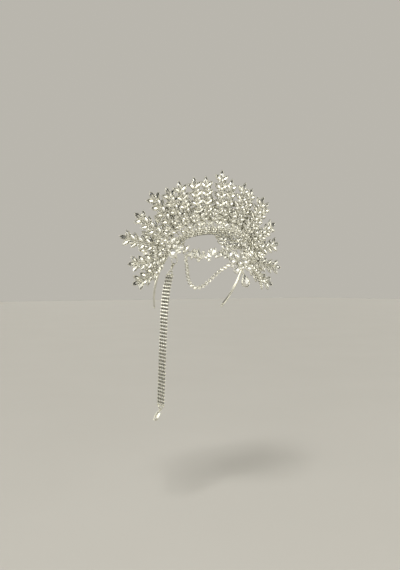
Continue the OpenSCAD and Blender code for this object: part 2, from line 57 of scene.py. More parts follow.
# What the stones reflect: patches all round, times bands from straight down to straight up
WORLD_STRENGTH = 2.6
PATCH_SCALE = 2.6
PATCHES = ((0.43, (0.13, 0.13, 0.128)), (0.58, (1.0, 0.99, 0.93)))
BANDS = (
    (0.0, (0.9, 0.87, 0.79)), (0.60, (1.0, 0.98, 0.92)), (0.74, (0.16, 0.16, 0.16)), (1.0, (0.08, 0.08, 0.08)),
)

# Colours as stops, and the roughness of the metal where it is polished and worn
SILVER = ((0.3, (0.68, 0.67, 0.59)), (0.7, (0.88, 0.87, 0.78)))
# Painted shade: a dark metal for the links between cups and the wire round the band, where the gaps between
# parts are in shade
PAINTED_SHADE_SILVER = ((0.3, (0.10, 0.10, 0.09)), (0.7, (0.20, 0.19, 0.17)))
# Crystal: painted reflections, a colour for each face's tone from dark facets to bright ones
PAINTED_CRYSTAL_REFLECTION = (
    (0.0, (0.09, 0.09, 0.09)), (0.22, (0.40, 0.40, 0.37)),
    (0.45, (0.88, 0.87, 0.80)), (1.0, (1.0, 0.99, 0.93)),
)
PALE_FLOOR = ((0.3, (0.500, 0.480, 0.432)), (0.7, (0.512, 0.492, 0.444)))
POLISHED = 0.14
WORN = 0.30

# Painted reflection in the stones' colour: each face's tone is a random part plus a part that its place gives;
# and each group's least tone, where it isn't 0, which lifts its painted reflection
RANDOM_PART = 0.55
PLACE_PART = 0.45
LEAST_PAINTED_TONE = {
    "lace": 0.3, "garland": 0.55, "temple": 0.4, "flower": 0.3,
    "crest": 0.4, "crest_side": 0.5, "swag": 0.75, "strap": 0.1,
}
# Painted dark reflection: how much darker the facets are on a tip leaf, and on the upper leaves of the sprays
# from this one on
TIP_PAINTED_DARK = 0.7
UPPER_PAINTED_DARK = 0.35
LEVEL_FROM = 4

# Headband
BAND_TOP_R = 145
BAND_SHOULDER_R = 48
BAND_SIDE_R = 145
BAND_W = 5
BAND_T = 1.2
BAND_EDGE_R = 0.4
BAND_RINGS = 240
BAND_LEAN = 33
SHOULDER_FROM = 15
SHOULDER_TO = 78
ARCH_END = 113
EYELET_R = 1.85
EYELET_WIRE_R = 0.65
EYELET_OUT = 2.1

# Lace of small stones on the front of the band: out from it, width, step; and the wire wound round the band
LACE = ((1.5, 3.2, 3.5), (4.5, 3.8, 4.0), (7.9, 3.6, 3.9), (11.0, 4.4, 5.0))
LACE_REACH = 104
LACE_FRONT = 2.9
LACE_CUP_H = 1.8
LACE_SHIFT = 0.3
LACE_NOD = 12
WRAP_PITCH = 2.6
WRAP_R = 0.4
WRAP_EDGE_R = 0.5

# Leaves and their stems
LEAF_L = 14
LEAF_W = 6.8
LEAF_ANGLE = 52
LEAF_PITCH = 12
LEAF_TILT = 9
LEAF_BOW = 0.15
FIRST_PAIR = 3
TIP_BACK = 0.8
STEM_R = 0.9
STEM_UP = 0.5
STEM_PAST = 1
TWIST_PITCH = 4.5
TWIST_STEP = 0.75
TWIST_SIDES = 12
PAD_R = 1.7
PAD_H = 1.6
PAD_GAP = 0.3
ROW_OFFSET = 1.3

# Cups: those narrower than SMALL_CUP_W are plainer. The profile is part of the outline and of the height
CUP_H = 2.4
CUP_WALL = 0.6
CUP_FLOOR = 0.5
CUP_SIDES = 20
CUP_RIM = 0.95
CUP_PROFILE = ((0.80, 0), (0.93, 0.18), (0.96, 0.7), (1, 0.86), (1, CUP_RIM))
TIP_WALLS = 2.6
SMALL_CUP_W = 5.6
SMALL_CUP_SIDES = 12
PEAR_BULGE = 0.015

# Claws: the points of the cup's edge where they stand, and their radius, reach over the stone and sides
CLAW_AT = {"navette": (0, 3, 7, 10, 13, 17), "pear": (0, 5, 8, 12, 15), "round": (1, 6, 11, 16)}
SMALL_CLAW_AT = (0, 3, 6, 9)
CLAW = (0.38, 1.0, 6)
SMALL_CLAW = (0.30, 0.7, 5)

# Cut of the stones: parts of their outline and of their heights above and below the girdle
STONE_GAP = 0.13
STONE_OVER = 0.2
TIP_ROOM = 2.9
GIRDLE_DOWN = 0.35
TABLE = 0.46
STAR = 0.52
STAR_UP = 0.58
GIRDLE_T = 0.12
DEEP = 0.52
DEEP_UP = 0.42

# Sprays: place on the arch, tip, sideways bow, pairs of leaves, turn, front or back row
SPRAYS = (
    (0, (0, -15, 91), 0.5, 4, 0, 1),
    (5, (-24, -7, 81), 0.5, 4, 3, -1),
    (10, (-47, -10, 77), 1, 4, 6, 1),
    (15, (-67, -1, 71), 2, 4, 9, -1),
    (27, (-89, -3, 60), 2, 4, 12, 1),
    (38, (-108, 9, 54), 2, 4, 16, -1),
    (50, (-128, 16, 24), 3, 4, 20, 1),
    (62, (-146, 27, -8), 2, 4, 22, -1),
    (73, (-140, 15, -47), 4, 4, 20, 1),
    (80, (-129, 22, -75), 6, 3, 18, -1),
)

# Small leaves between the pairs of a spray
BETWEEN_L = 10.5
BETWEEN_W = 5
BETWEEN_AT = 0.55
BETWEEN_ANGLE = 34
BETWEEN_TILT = -14
BETWEEN_UP = 2.2
# Leaves from the last pair down to the band, each shorter than the one above; width and step go with length
LOWER_L = 11.5
LOWER_LEAST_L = 8.0
LOWER_LESS = 1.0
LOWER_WIDTH = 0.47
LOWER_STEP = 0.74
LOWER_ANGLE = LEAF_ANGLE - 6
LOWER_START = 1.5
LOWER_END = 4.5
# Small sprays between two neighbours: part of their length, depth out of their plane, leaf length
SIDE_SPRAYS = ((0.68, -5, 10.5), (0.44, 5, 9))
SIDE_WIDTH = 0.48
SIDE_PITCH = 0.8
SIDE_BARE = 6
SIDE_BOW = 1.0
SIDE_STEM_R = 0.55

# Garland: degrees from the front, height, shape, length, width, turn
GARLAND = (
    (77, -17, "navette", 13, 6.8, 40),
    (70, -26, "navette", 14, 6.8, 55),
    (61, -33, "navette", 15, 7, 82),
    (53, -32, "pear", 15, 9, 90),
    (46.5, -36, "round", 6, 6, 0),
    (40, -33, "pear", 13, 7, 90),
    (34, -30, "navette", 13, 6.4, 70),
    (28, -34, "navette", 14, 6.8, 50),
    (20, -24.5, "navette", 13, 6.4, -40),
)
GARLAND_SMALL = (
    (73.5, -15, "round", 4.6, 4.6, 0),
    (65.5, -33.5, "round", 4.6, 4.6, 0),
    (57.2, -28, "round", 4.6, 4.6, 0),
    (53, -41.6, "round", 5, 5, 0),
    (57, -37, "round", 4.2, 4.2, 0),
    (49.6, -38, "round", 4.4, 4.4, 0),
    (46.5, -30.6, "round", 4.6, 4.6, 0),
    (43, -38.5, "round", 4.2, 4.2, 0),
    (40, -41.4, "round", 5, 5, 0),
    (37, -27.4, "round", 4.4, 4.4, 0),
    (31, -36.6, "round", 4.4, 4.4, 0),
    (24.4, -29, "round", 4.4, 4.4, 0),
    (15.5, -21.6, "round", 4.4, 4.4, 0),
    (13.5, -26.4, "navette", 9.5, 4.8, 20),
    (11, -20, "navette", 10, 4.8, 62),
    (7.6, -25.4, "navette", 9, 4.6, -12),
    (6.4, -18.6, "navette", 9, 4.4, 48),
    (23.6, -33.4, "navette", 10, 5, 62),
    (19.6, -31, "navette", 10.5, 5.2, 96),
    (18, -36.6, "navette", 9.5, 4.8, 48),
    (14.6, -32.6, "navette", 10, 5, 74),
    (12.4, -38.4, "navette", 9, 4.6, 40),
)
GARLAND_START = (-62.4, -1.8, -23)
GARLAND_FINISH = (-1.4, -46.5, -24.5)
# Its curve is an ellipse: half width and depth, and middle. Its stones face a little up, before their wire
GARLAND_HALF = (59, 72)
GARLAND_MIDDLE_Y = 20
GARLAND_UP = 0.25
GARLAND_WIRE_R = 0.7
GARLAND_WIRE_BACK = 0.8
SPUR_R = 0.5
SEAT_UP = 0.2

# Temple cluster and centre flower: across, up, shape, length, width, turn
TEMPLE = (
    (-2.3, -6, "round", 13, 13, 0),
    (-9, 4, "round", 8, 8, 0),
    (0.5, 4.5, "round", 7, 7, 0),
    (9, 2, "round", 8, 8, 0),
    (-3, 12, "navette", 13, 6.8, 70),
)
TEMPLE_SMALL = (
    (-8.8, -1.8, "round", 4, 4, 0),
    (4.2, -2.2, "round", 4.4, 4.4, 0),
    (-9.6, 10.4, "round", 4.4, 4.4, 0),
    (4.6, 9.8, "round", 4.6, 4.6, 0),
    (7.2, -4.6, "round", 4.4, 4.4, 0),
)
TEMPLE_AT = (-69.4, 4.1, -25)
TEMPLE_TURN = 50
TEMPLE_ON_ARCH = 60
POST_R = 1.0
POST_BACK = 0.4
FLOWER = (
    (0, 0, "round", 8, 8, 0),
    (-11, 2.5, "pear", 13, 8.6, 12),
    (-6.8, -9.4, "pear", 13, 10, 55),
    (10, 2, "navette", 13, 7.4, -15),
    (14.4, -7.4, "navette", 14, 6.6, 175),
    (3.6, -6.2, "round", 5.4, 5.4, 0),
    (-15, 12.4, "navette", 14, 8, 68),
    (-3.5, 10.5, "navette", 13, 7, -60),
)
FLOWER_SMALL = (
    (7.4, 9.2, "round", 5.6, 5.6, 0),
    (5.6, 14.6, "round", 4.4, 4.4, 0),
    (-8.4, 14.4, "round", 4.2, 4.2, 0),
    (-14.2, -4.2, "round", 4.4, 4.4, 0),
    (-1.2, -7.6, "round", 4, 4, 0),
    (9.2, -4.8, "round", 4.2, 4.2, 0),
    (16, 4.2, "round", 4.2, 4.2, 0),
)
FLOWER_AT = (0, -55, -46)
FLOWER_SLOPE = 14
# Web behind a cluster: height and radius of the hub's sections, and its wires
HUB_R = 2.9
HUB = ((-0.9, 2.2), (-0.6, HUB_R), (0.1, 2.6))
WEB_WIRE_R = 0.75

# Crest: top, foot, bow, first pair, pitch, pairs, leaf length and width; and three finer stems on each side
CREST = ((0, -3.6, 0.6), (0, -51, -34), 9, 14, 12.5, 3, LEAF_L, LEAF_W)
CREST_SIDES = (
    ((-4.5, -3.6, 0.6), (-9.5, -50, -33), 7, 10, 9, 4, 10, 4.8),
    ((-8.5, -3.4, 0.4), (-19.5, -47.6, -27), 7, 9, 9, 4, 10.5, 5),
    ((-11.9, -21, -3.2), (-14.2, -50.6, -32.4), 4, 7, 9, 3, 9.5, 4.6),
)
CREST_ANGLE = LEAF_ANGLE + 8
CREST_SIDE_STEM_R = 0.6

# Pendant
HANG_LOOP_R = 1.3
HANG_WIRE_R = 0.45
PENDANT_RING_R = 1.65
HANG_PLAY = 0.3
PENDANT_LEAN = 18
FLOWER_LOOP_AT = (3.6, -57.6, -55.4)
DROP_L = 20.5
DROP_W = 14
DROP_H = 3.4
DROP_SUNK = 0.3
DROP_SIDES = 48
DROP_CLAW_AT = (0, 9, 17, 24, 31, 39)
DROP_CLAW = (0.5, 1.1, 6)
DROP_CULET = 0.8
DROP_GIRDLE_DOWN = 0.4
DROP_TABLE_UP = 1.6
DROP_TABLE = 0.40
# Painted dark reflection on the drop: how much darker its facets are
DROP_PAINTED_DARK = 0.2

# Swag: middle line of the chain on the wearer's right, and the point that its stones face away from
SWAG = (
    (-57, -6, -32), (-56, -4, -40), (-58, -9, -49), (-61, -15, -58), (-63.5, -21, -67),
    (-63.5, -27, -75), (-60, -33, -79.5), (-54, -40, -78), (-48, -46, -72), (-41, -50.5, -64),
    (-33, -53.5, -57), (-25, -55.5, -51.5), (-18, -56.5, -47.5),
)
SWAG_MIDDLE = (0, 25, -60)
SWAG_PITCH = 5.8
SWAG_CUP = 5.4
SWAG_CUP_H = 2.6
SWAG_CUP_BACK = 1.6
SWAG_LINK_R = 0.9
SWAG_LINK_UP = 0.9

# Strap: side profile of its middle line, as across and height
STRAP = (
    (-72, -61), (-75, -72), (-77.4, -86), (-79, -101), (-80, -118), (-80.6, -140),
    (-81.1, -170), (-81.6, -205), (-82, -249),
)
STRAP_W = 19
STRAP_LEAN = 2.8
STRAP_TOP_Y = 13.6
STRAP_COLUMNS = 4
STRAP_PITCH = 5.0
STRAP_CUP = 4.2
STRAP_CUP_H = 1.7
STRAP_CUP_BACK = 1.15
CROSS_LINK_R = 0.7
CROSS_LINK_PAST = 1.6
LONG_LINK_R = 0.5
LINK_BACK = 0.1
ARCH_R = 5.4
ARCH_WIRE_R = 0.8
ARCH_SUNK = 0.2
END_BAR_SHORT = 0.3
END_BAR_RADII = (0.8, 1.0, 1.0, 1.0, 0.8)

# Rings and loops of the strap's upper and lower run
UPPER_RUN = (0.3, -0.15, 0.94)
LOWER_RUN = (-0.5, 0.05, -0.86)
RING_HALF_W = 4.9
RING_HALF_H = 5
RING_WIRE_R = 0.6
LOOP_R = 1.9
LOOP_STEM_R = 0.75
LINK_PLAY = 0.12
JUMP_R = 2.1
JUMP_WIRE_R = 0.45

# Clasps and levers, how far their edges are rounded, and their bodies; and the angle that makes an edge
CLASPS = (
    ("clasp_upper", 0.2, "crown"),
    ("clasp_lower", 0.35, "crown"),
    ("clasp_lever_upper", 0.1, "lever_upper"),
    ("clasp_lever_lower", 0.15, "lever_lower"),
)
FLAT_ANGLE = 2
EDGE_ANGLE = 40

# A direction that no stem or wire follows, where the rings of a tube start
SEAM = (0.31, 0.22, 0.93)
# The wearer's right as it is, and its mirror
HERE = np.eye(4)
MIRROR = np.diag([-1.0, 1, 1, 1])
SIDES = (("right", HERE), ("left", MIRROR))


def vec(*p):
    return np.array(p, float)


def unit(v):
    v = np.asarray(v, float)
    return v / np.linalg.norm(v)


def sin(a):
    return math.sin(math.radians(a))


def cos(a):
    return math.cos(math.radians(a))


def frame_at(o, x, z):
    """A 4x4 frame from its origin, its X direction and roughly its Z direction."""
    x, z = np.asarray(x, float), np.asarray(z, float)
    n = unit(z - (z @ x) * x)
    m = np.eye(4)
    m[:3, 0], m[:3, 1], m[:3, 2], m[:3, 3] = x, np.cross(n, x), n, o
    return m


def move(x, y, z):
    m = np.eye(4)
    m[:3, 3] = x, y, z
    return m


def turn(axis, a):
    i, j = {"x": (1, 2), "y": (2, 0), "z": (0, 1)}[axis]
    m = np.eye(4)
    m[i, i], m[i, j], m[j, i], m[j, j] = cos(a), -sin(a), sin(a), cos(a)
    return m


def above(m, h):
    """The point at a height above a frame's origin."""
    return m[:3, 3] + h * m[:3, 2]


def new_object(name, data):
    o = bpy.data.objects.new(name, data)
    bpy.context.scene.collection.objects.link(o)
    return o


class Shape:
    """Gathers vertices and faces in millimetres."""

    def __init__(self):
        self.v, self.f, self.smooth, self.facets, self.count = [], [], [], [], 0

    def add(self, template, m=HERE, painted_dark=0.0):
        """Adds vertices and faces at a frame. A stone's template has the tones of its facets too, painted
        reflection that the given darkening lowers.
        """
        verts, faces, smooth, *facets = template
        flip = np.linalg.det(m[:3, :3]) < 0
        self.v.append(np.asarray(verts, float) @ m[:3, :3].T + m[:3, 3])
        for f in faces:
            f = [i + self.count for i in f]
            self.f.append(f[::-1] if flip else f)
        self.smooth += [smooth] * len(faces)
        self.facets += [v - painted_dark for v in facets[0]] if facets else [0.5] * len(faces)
        self.count += len(verts)

    def piece(self, name, slot, material, replaces=(), body="crown", least_painted_tone=0.0):
        """Makes the object. Its face attribute holds each face's tone of painted reflection, lifted to the
        given least tone.
        """
        mesh = bpy.data.meshes.new(name)
        mesh.from_pydata((np.concatenate(self.v) * MM).tolist(), [], self.f)
        mesh.polygons.foreach_set("use_smooth", self.smooth)
        mesh.materials.append(material)
        shade = mesh.attributes.new("painted_reflection", "FLOAT", "FACE")
        random = np.random.RandomState(len(name) + len(self.f))
        tones = RANDOM_PART * random.rand(len(self.f)) + PLACE_PART * np.array(self.facets)
        shade.data.foreach_set("value", (least_painted_tone + (1 - least_painted_tone) * tones).astype(np.float32))
        mesh.update()
        o = new_object(name, mesh)
        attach(o, body)
        if replaces:
            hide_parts(*replaces)
        return o


def both_sides(build, name, slot, material, nodes=(), least_painted_tone=0.0):
    """A piece for the wearer's right and its mirror for the left."""
    for side, m in SIDES:
        s = Shape()
        build(s, m)
        s.piece(f"{name}_{side}", slot, material, [f"{n}_{side}" for n in nodes], least_painted_tone=least_painted_tone)


# Outlines of settings, as points anticlockwise from the tip at +X
def navette_points(l, w, n):
    r = (l * l + w * w) / (4 * w)
    half = math.asin(l / 2 / r)
    quarter = n // 2
    turns = [half - 2 * half * i / quarter for i in range(quarter)]
    upper = [(r * math.sin(a), r * math.cos(a) - r + w / 2) for a in turns]
    return upper + [(-x, -y) for x, y in upper]


def pear_points(l, w, n):
    c, r = (w - l) / 2, w / 2
    a = math.acos(r / (l - r))
    side = n // 4
    arc = n - 2 * side
    tip = vec(l / 2, 0)
    touch = vec(c + r * math.cos(a), r * math.sin(a))
    bulge = vec(math.cos(a), math.sin(a)) * (PEAR_BULGE * l)
    upper = [tip + (touch - tip) * f + bulge * math.sin(math.pi * f) for f in (i / side for i in range(side))]
    turns = [a + (2 * math.pi - 2 * a) * i / arc for i in range(arc)]
    back = [(c + r * math.cos(t), r * math.sin(t)) for t in turns]
    lower = [(x, -y) for x, y in upper[1:]]
    return [*upper, *back, (touch[0], -touch[1]), *lower[::-1]]


def outline(shape, l, w, n):
    if shape == "round":
        return np.array([(w / 2 * cos(360 * i / n), w / 2 * sin(360 * i / n)) for i in range(n)])
    if shape == "navette":
        return np.array(navette_points(l, w, n))
    return np.array(pear_points(l, w, n))


def middle(shape, l, w):
    return vec((w - l) / 2, 0) if shape == "pear" else vec(0, 0)


def ring(points, z):
    return np.column_stack([points, np.full(len(points), z)])


def strip(a, b, n):
    """Quads between two rings of n vertices that start at a and b."""
    return [(a + i, a + (i + 1) % n, b + (i + 1) % n, b + i) for i in range(n)]


def tube_faces(count, n):
    """The ends and the sides of a tube of count rings with n vertices each."""
    faces = [tuple(range(n))[::-1], tuple(range((count - 1) * n, count * n))]
    for i in range(count - 1):
        faces += strip(i * n, (i + 1) * n, n)
    return faces


def cut_stone(shape, l, w, floor_z, girdle_z, table_z, table_part=TABLE):
    """A brilliant cut: table, stars, kites, upper girdle facets, girdle and a pavilion of two rows."""
    c = middle(shape, l, w)
    girdle = outline(shape, l, w, 16)
    mains = girdle[::2]
    between = (mains + np.roll(mains, -1, 0)) / 2
    rise = table_z - girdle_z
    verts = np.concatenate([
        ring(c + table_part * (mains - c), table_z),
        ring(c + (STAR + table_part / 2) * (between - c), girdle_z + STAR_UP * rise),
        ring(girdle, girdle_z),
        ring(girdle, girdle_z - GIRDLE_T * rise),
        ring(c + DEEP * (mains - c), floor_z + DEEP_UP * (girdle_z - floor_z)),
        ring(np.array([c]), floor_z),
    ])
    table, star, top, low, deep, culet = 0, 8, 16, 32, 48, 56
    faces = [tuple(range(8))]
    for i in range(8):
        j = (i + 1) % 8
        faces += [
            (table + j, table + i, star + i),
            (table + i, star + (i - 1) % 8, top + 2 * i), (table + i, top + 2 * i, star + i),
            (star + i, top + 2 * i, top + 2 * i + 1), (star + i, top + 2 * i + 1, top + (2 * j)),
            (low + 2 * i, deep + i, low + 2 * i + 1), (low + 2 * i + 1, deep + i, deep + j),
            (low + 2 * i + 1, deep + j, low + 2 * j), (deep + i, culet, deep + j),
        ]
    faces += [(top + (i + 1) % 16, top + i, low + i, low + (i + 1) % 16) for i in range(16)]
    # Each face's part of the painted reflection, darker towards the tip
    return verts, faces, False, [painted_dark_to_tip(verts, f, l) for f in faces]


def painted_dark_to_tip(verts, face, l):
    """Painted reflection: 1 for the facets at a stone's inner end, down to 0 for those at its tip, which is
    painted dark.
    """
    return float(np.clip(0.5 - 1.5 * np.mean([verts[i][0] for i in face]) / l, 0, 1))


def wall_of(w):
    return min(CUP_WALL, 0.12 * w)


def cup(shape, l, w, h=CUP_H, n=CUP_SIDES):
    """A cup with a tapered wall, a rolled rim and a closed floor."""
    c = middle(shape, l, w)
    edge = outline(shape, l, w, n) - c
    long = (l - TIP_WALLS * wall_of(w)) / l
    short = (w - 2 * wall_of(w)) / w
    lip = edge * vec((1 + long) / 2, (1 + short) / 2)
    inner = edge * vec(long, short)
    rings = [(part * edge, up * h) for part, up in CUP_PROFILE]
    rings += [(lip, h), (inner, CUP_RIM * h), (inner, CUP_FLOOR)]
    last = (len(rings) - 1) * n
    walls = [f for a in range(0, last, n) for f in strip(a, a + n, n)]
    faces = [tuple(range(n))[::-1], *walls, tuple(range(last, last + n))]
    return np.concatenate([ring(c + points, z) for points, z in rings]), faces, True


def directions(line):
    """The direction of a line at each of its points."""
    n = len(line)
    return [unit(line[min(i + 1, n - 1)] - line[max(i - 1, 0)]) for i in range(n)]


def tube(line, section):
    """A closed tube along a line. section(i) gives the angle and radius of each vertex at point i."""
    line = np.asarray(line, float)
    tangents = directions(line)
    u = np.cross(tangents[0], SEAM)
    verts = []
    for i, (p, t) in enumerate(zip(line, tangents)):
        u = unit(u - (u @ t) * t)
        v = np.cross(t, u)
        verts += [p + r * (cos(a) * u + sin(a) * v) for a, r in section(i)]
    return verts, tube_faces(len(line), len(verts) // len(line)), True


def swept(line, radii, sides=8):
    """A round tube along a line, with one radius or one for each point."""
    radii = np.broadcast_to(radii, len(line))
    return tube(line, lambda i: [(360 * k / sides, radii[i]) for k in range(sides)])


def twisted(line, r):
    """A stem of two wires twisted together, along a line."""
    def section(i):
        a = 360 * i * TWIST_STEP / TWIST_PITCH
        around = [360 * k / TWIST_SIDES for k in range(TWIST_SIDES)]
        return [(a + b, r * (0.60 + 0.40 * abs(cos(b)) ** 0.8)) for b in around]

    return tube(resampled(line, TWIST_STEP), section)


def loop(points, wire, normal, sides=10):
    """A closed wire through points in one plane."""
    points = np.asarray(points, float)
    n = len(points)
    u = unit(normal)
    verts, faces = [], []
    for i, p in enumerate(points):
        v = np.cross(unit(points[(i + 1) % n] - points[i - 1]), u)
        verts += [p + wire * (cos(360 * k / sides) * u + sin(360 * k / sides) * v) for k in range(sides)]
        faces += strip(i * sides, (i + 1) % n * sides, sides)
    return verts, faces, True


def oval(half_w, half_h, wire, n=36):
    """A wire ring in the XZ plane."""
    points = [(half_w * cos(360 * i / n), 0, half_h * sin(360 * i / n)) for i in range(n)]
    return loop(points, wire, (0, 1, 0))


def resampled(line, step):
    """Points at even distances of about step along a line."""
    line = np.asarray(line, float)
    away = np.concatenate([[0], np.cumsum(np.linalg.norm(np.diff(line, axis=0), axis=1))])
    at = np.linspace(0, away[-1], max(2, int(round(away[-1] / step)) + 1))
    return np.column_stack([np.interp(at, away, line[:, k]) for k in range(3)])


def smooth(p, count):
    """Points on a smooth curve through the given ones."""
    p = [np.asarray(q, float) for q in p]
    n = len(p) - 1
    out = []
    for i in range(n):
        a, b, c, d = p[max(i - 1, 0)], p[i], p[i + 1], p[min(i + 2, n)]
        square, cube = 2 * a - 5 * b + 4 * c - d, 3 * b - a - 3 * c + d
        for k in range(count):
            f = k / count
            out.append(0.5 * (2 * b + (c - a) * f + square * f * f + cube * f ** 3))
    return np.array(out + [p[n]])


def prong(p, out, h, r, reach, sides):
    """A claw up the wall at p and bent in over the stone."""
    # Distance out from the wall, height, and part of the radius
    rows = (
        (-0.10, 0.15 * h, 0.75), (0.10, 0.5 * h, 1), (0.12, 0.95 * h, 1.05),
        (-0.10, h + 0.30, 1.1), (-0.50 * reach, h + 0.46, 0.95), (-0.85 * reach, h + 0.40, 0.45),
    )
    path = [p + vec(*(away * out), up) for away, up, _ in rows]
    return swept(path, [part * r for *_, part in rows], sides)


def add_claws(s, edge, places, h, claw, m=HERE):
    """Claws on a cup of height h, at some of the points of its edge."""
    for k in places:
        along = unit(edge[(k + 1) % len(edge)] - edge[k - 1])
        s.add(prong(vec(*edge[k], 0), vec(along[1], -along[0]), h, *claw), m)


@cache
def stone(shape, l, w, h=CUP_H):
    """The stone of a cup, which lies on its rim."""
    side = w - 2 * wall_of(w) - 2 * STONE_GAP + STONE_OVER
    long = l - (2 if shape == "round" else TIP_ROOM) * (wall_of(w) + STONE_GAP) + STONE_OVER
    rise = min(0.9, 0.16 * w + 0.25)
    return cut_stone(shape, long, side, CUP_FLOOR + STONE_GAP, h - GIRDLE_DOWN, h + rise)


@cache
def setting(shape, l, w, h=CUP_H):
    """A cup with claws, four on a small one and more on a large one."""
    small = w < SMALL_CUP_W
    n = SMALL_CUP_SIDES if small else CUP_SIDES
    s = Shape()
    s.add(cup(shape, l, w, h, n))
    places = SMALL_CLAW_AT if small else CLAW_AT[shape]
    add_claws(s, outline(shape, l, w, n), places, h, SMALL_CLAW if small else CLAW)
    return np.concatenate(s.v), s.f, True


def add_all(s, template, rows, m=HERE):
    """The stones or the settings of rows, which hold a frame and then shape, length and width."""
    for at, *size in rows:
        s.add(template(*size), m @ at)


def add_pair(metal, stones, at, *size):
    """A setting and its stone."""
    metal.add(setting(*size), at)
    stones.add(stone(*size), at)


# Distance along the inside of the arch from its top to its shoulder, to its side and to its end
SHOULDER_D = math.radians(SHOULDER_FROM) * BAND_TOP_R
SIDE_D = SHOULDER_D + math.radians(SHOULDER_TO - SHOULDER_FROM) * BAND_SHOULDER_R
END_D = SIDE_D + math.radians(ARCH_END - SHOULDER_TO) * BAND_SIDE_R


def arch_xy(a, out=0):
    """A point in the plane of the arch, at an angle from its top and a distance out from its inside."""
    top = vec(0, -BAND_TOP_R)
    if a <= SHOULDER_FROM:
        return top + (BAND_TOP_R + out) * vec(sin(a), cos(a))
    shoulder = top + (BAND_TOP_R - BAND_SHOULDER_R) * vec(sin(SHOULDER_FROM), cos(SHOULDER_FROM))
    if a <= SHOULDER_TO:
        return shoulder + (BAND_SHOULDER_R + out) * vec(sin(a), cos(a))
    side = shoulder + (BAND_SHOULDER_R - BAND_SIDE_R) * vec(sin(SHOULDER_TO), cos(SHOULDER_TO))
    return side + (BAND_SIDE_R + out) * vec(sin(a), cos(a))


def arch_angle(d):
    """Angle on the arch at a distance along its inside from the top."""
    if d <= SHOULDER_D:
        return math.degrees(d / BAND_TOP_R)
    if d <= SIDE_D:
        return SHOULDER_FROM + math.degrees((d - SHOULDER_D) / BAND_SHOULDER_R)
    return SHOULDER_TO + math.degrees((d - SIDE_D) / BAND_SIDE_R)


def from_arch(p, forward=0):
    """From the plane of the arch to the crown's frame, on the wearer's right."""
    lean, rise = sin(BAND_LEAN), cos(BAND_LEAN)
    return vec(-p[0], -p[1] * lean - forward * rise, p[1] * rise - forward * lean)


def band_point(d, out, forward):
    """A point of the band: a distance along it from the top, out from its middle, and to the front."""
    p = arch_xy(arch_angle(abs(d)), BAND_T / 2 + out)
    return from_arch(vec(math.copysign(p[0], d), p[1]), forward)


class Spray:
    """A bowed stem from its pad on the band to its tip, with leaves."""

    def __init__(self, row, leaf_l=LEAF_L, leaf_w=LEAF_W, pitch=LEAF_PITCH):
        place, tip, self.bow, self.pairs, face, side = row
        self.row, self.leaf_l, self.leaf_w, self.pitch = row, leaf_l, leaf_w, pitch
        self.foot = from_arch(arch_xy(place, BAND_T + PAD_GAP + PAD_H / 2 + STEM_UP), side * ROW_OFFSET)
        self.low = from_arch(arch_xy(place, BAND_T + PAD_GAP), side * ROW_OFFSET)
        self.high = from_arch(arch_xy(place, BAND_T + PAD_GAP + PAD_H), side * ROW_OFFSET)
        self.length = np.linalg.norm(vec(*tip) - self.foot)
        self.arc_r = (self.length ** 2 / 4 + self.bow ** 2) / (2 * self.bow)
        self.half = math.degrees(math.asin(self.length / 2 / self.arc_r))
        self.end = 2 * math.radians(self.half) * self.arc_r - leaf_l + STEM_PAST
        self.frame = frame_at(self.foot, unit(vec(*tip) - self.foot), vec(-sin(face), -cos(face), 0))

    def turned(self, d):
        """How far the stem has turned at a distance along it."""
        return math.degrees(d / self.arc_r) - self.half

    def point(self, d):
        a = self.turned(d)
        return vec(self.length / 2 + self.arc_r * sin(a), self.arc_r * cos(a) - self.arc_r + self.bow, 0)

    def leaf(self, d, direction, tilt, leaf_l=LEAF_L):
        """The frame of a leaf at a distance along the stem."""
        at = self.frame @ move(*self.point(d)) @ turn("z", -self.turned(d) + direction) @ turn("x", tilt)
        return at @ move(leaf_l / 2 + LEAF_BOW, 0, -CUP_H / 2)

    def leaves(self):
        """The frames of the tip leaf and of the pairs."""
        tip = self.frame @ move(*self.point(self.end - TIP_BACK)) @ turn("z", -self.turned(self.end))
        out = [tip @ move(self.leaf_l / 2 + LEAF_BOW, 0, -CUP_H / 2)]
        for k in range(self.pairs):
            d = self.end - FIRST_PAIR - self.pitch * k
            out += [self.leaf(d, side * LEAF_ANGLE, side * LEAF_TILT, self.leaf_l) for side in (1, -1)]
        return out

    def line(self):
        local = [self.point(d) for d in np.linspace(0, self.end, 40)]
        return np.array(local) @ self.frame[:3, :3].T + self.frame[:3, 3]


# Materials
def new_material(name):
    m = bpy.data.materials.new(name)
    m.use_nodes = True
    nodes, links = m.node_tree.nodes, m.node_tree.links
    return m, nodes, links, nodes["Principled BSDF"]


def object_noise(nodes, links, scale, detail=3):
    where = nodes.new("ShaderNodeTexCoord")
    noise = nodes.new("ShaderNodeTexNoise")
    noise.inputs["Scale"].default_value = scale
    noise.inputs["Detail"].default_value = detail
    links.new(where.outputs["Object"], noise.inputs["Vector"])
    return noise


def ramp(nodes, links, source, stops):
    r = nodes.new("ShaderNodeValToRGB")
    while len(r.color_ramp.elements) < len(stops):
        r.color_ramp.elements.new(0.5)
    for e, (at, colour) in zip(r.color_ramp.elements, stops):
        e.position = at
        e.color = (*colour, 1)
    links.new(source, r.inputs["Fac"])
    return r


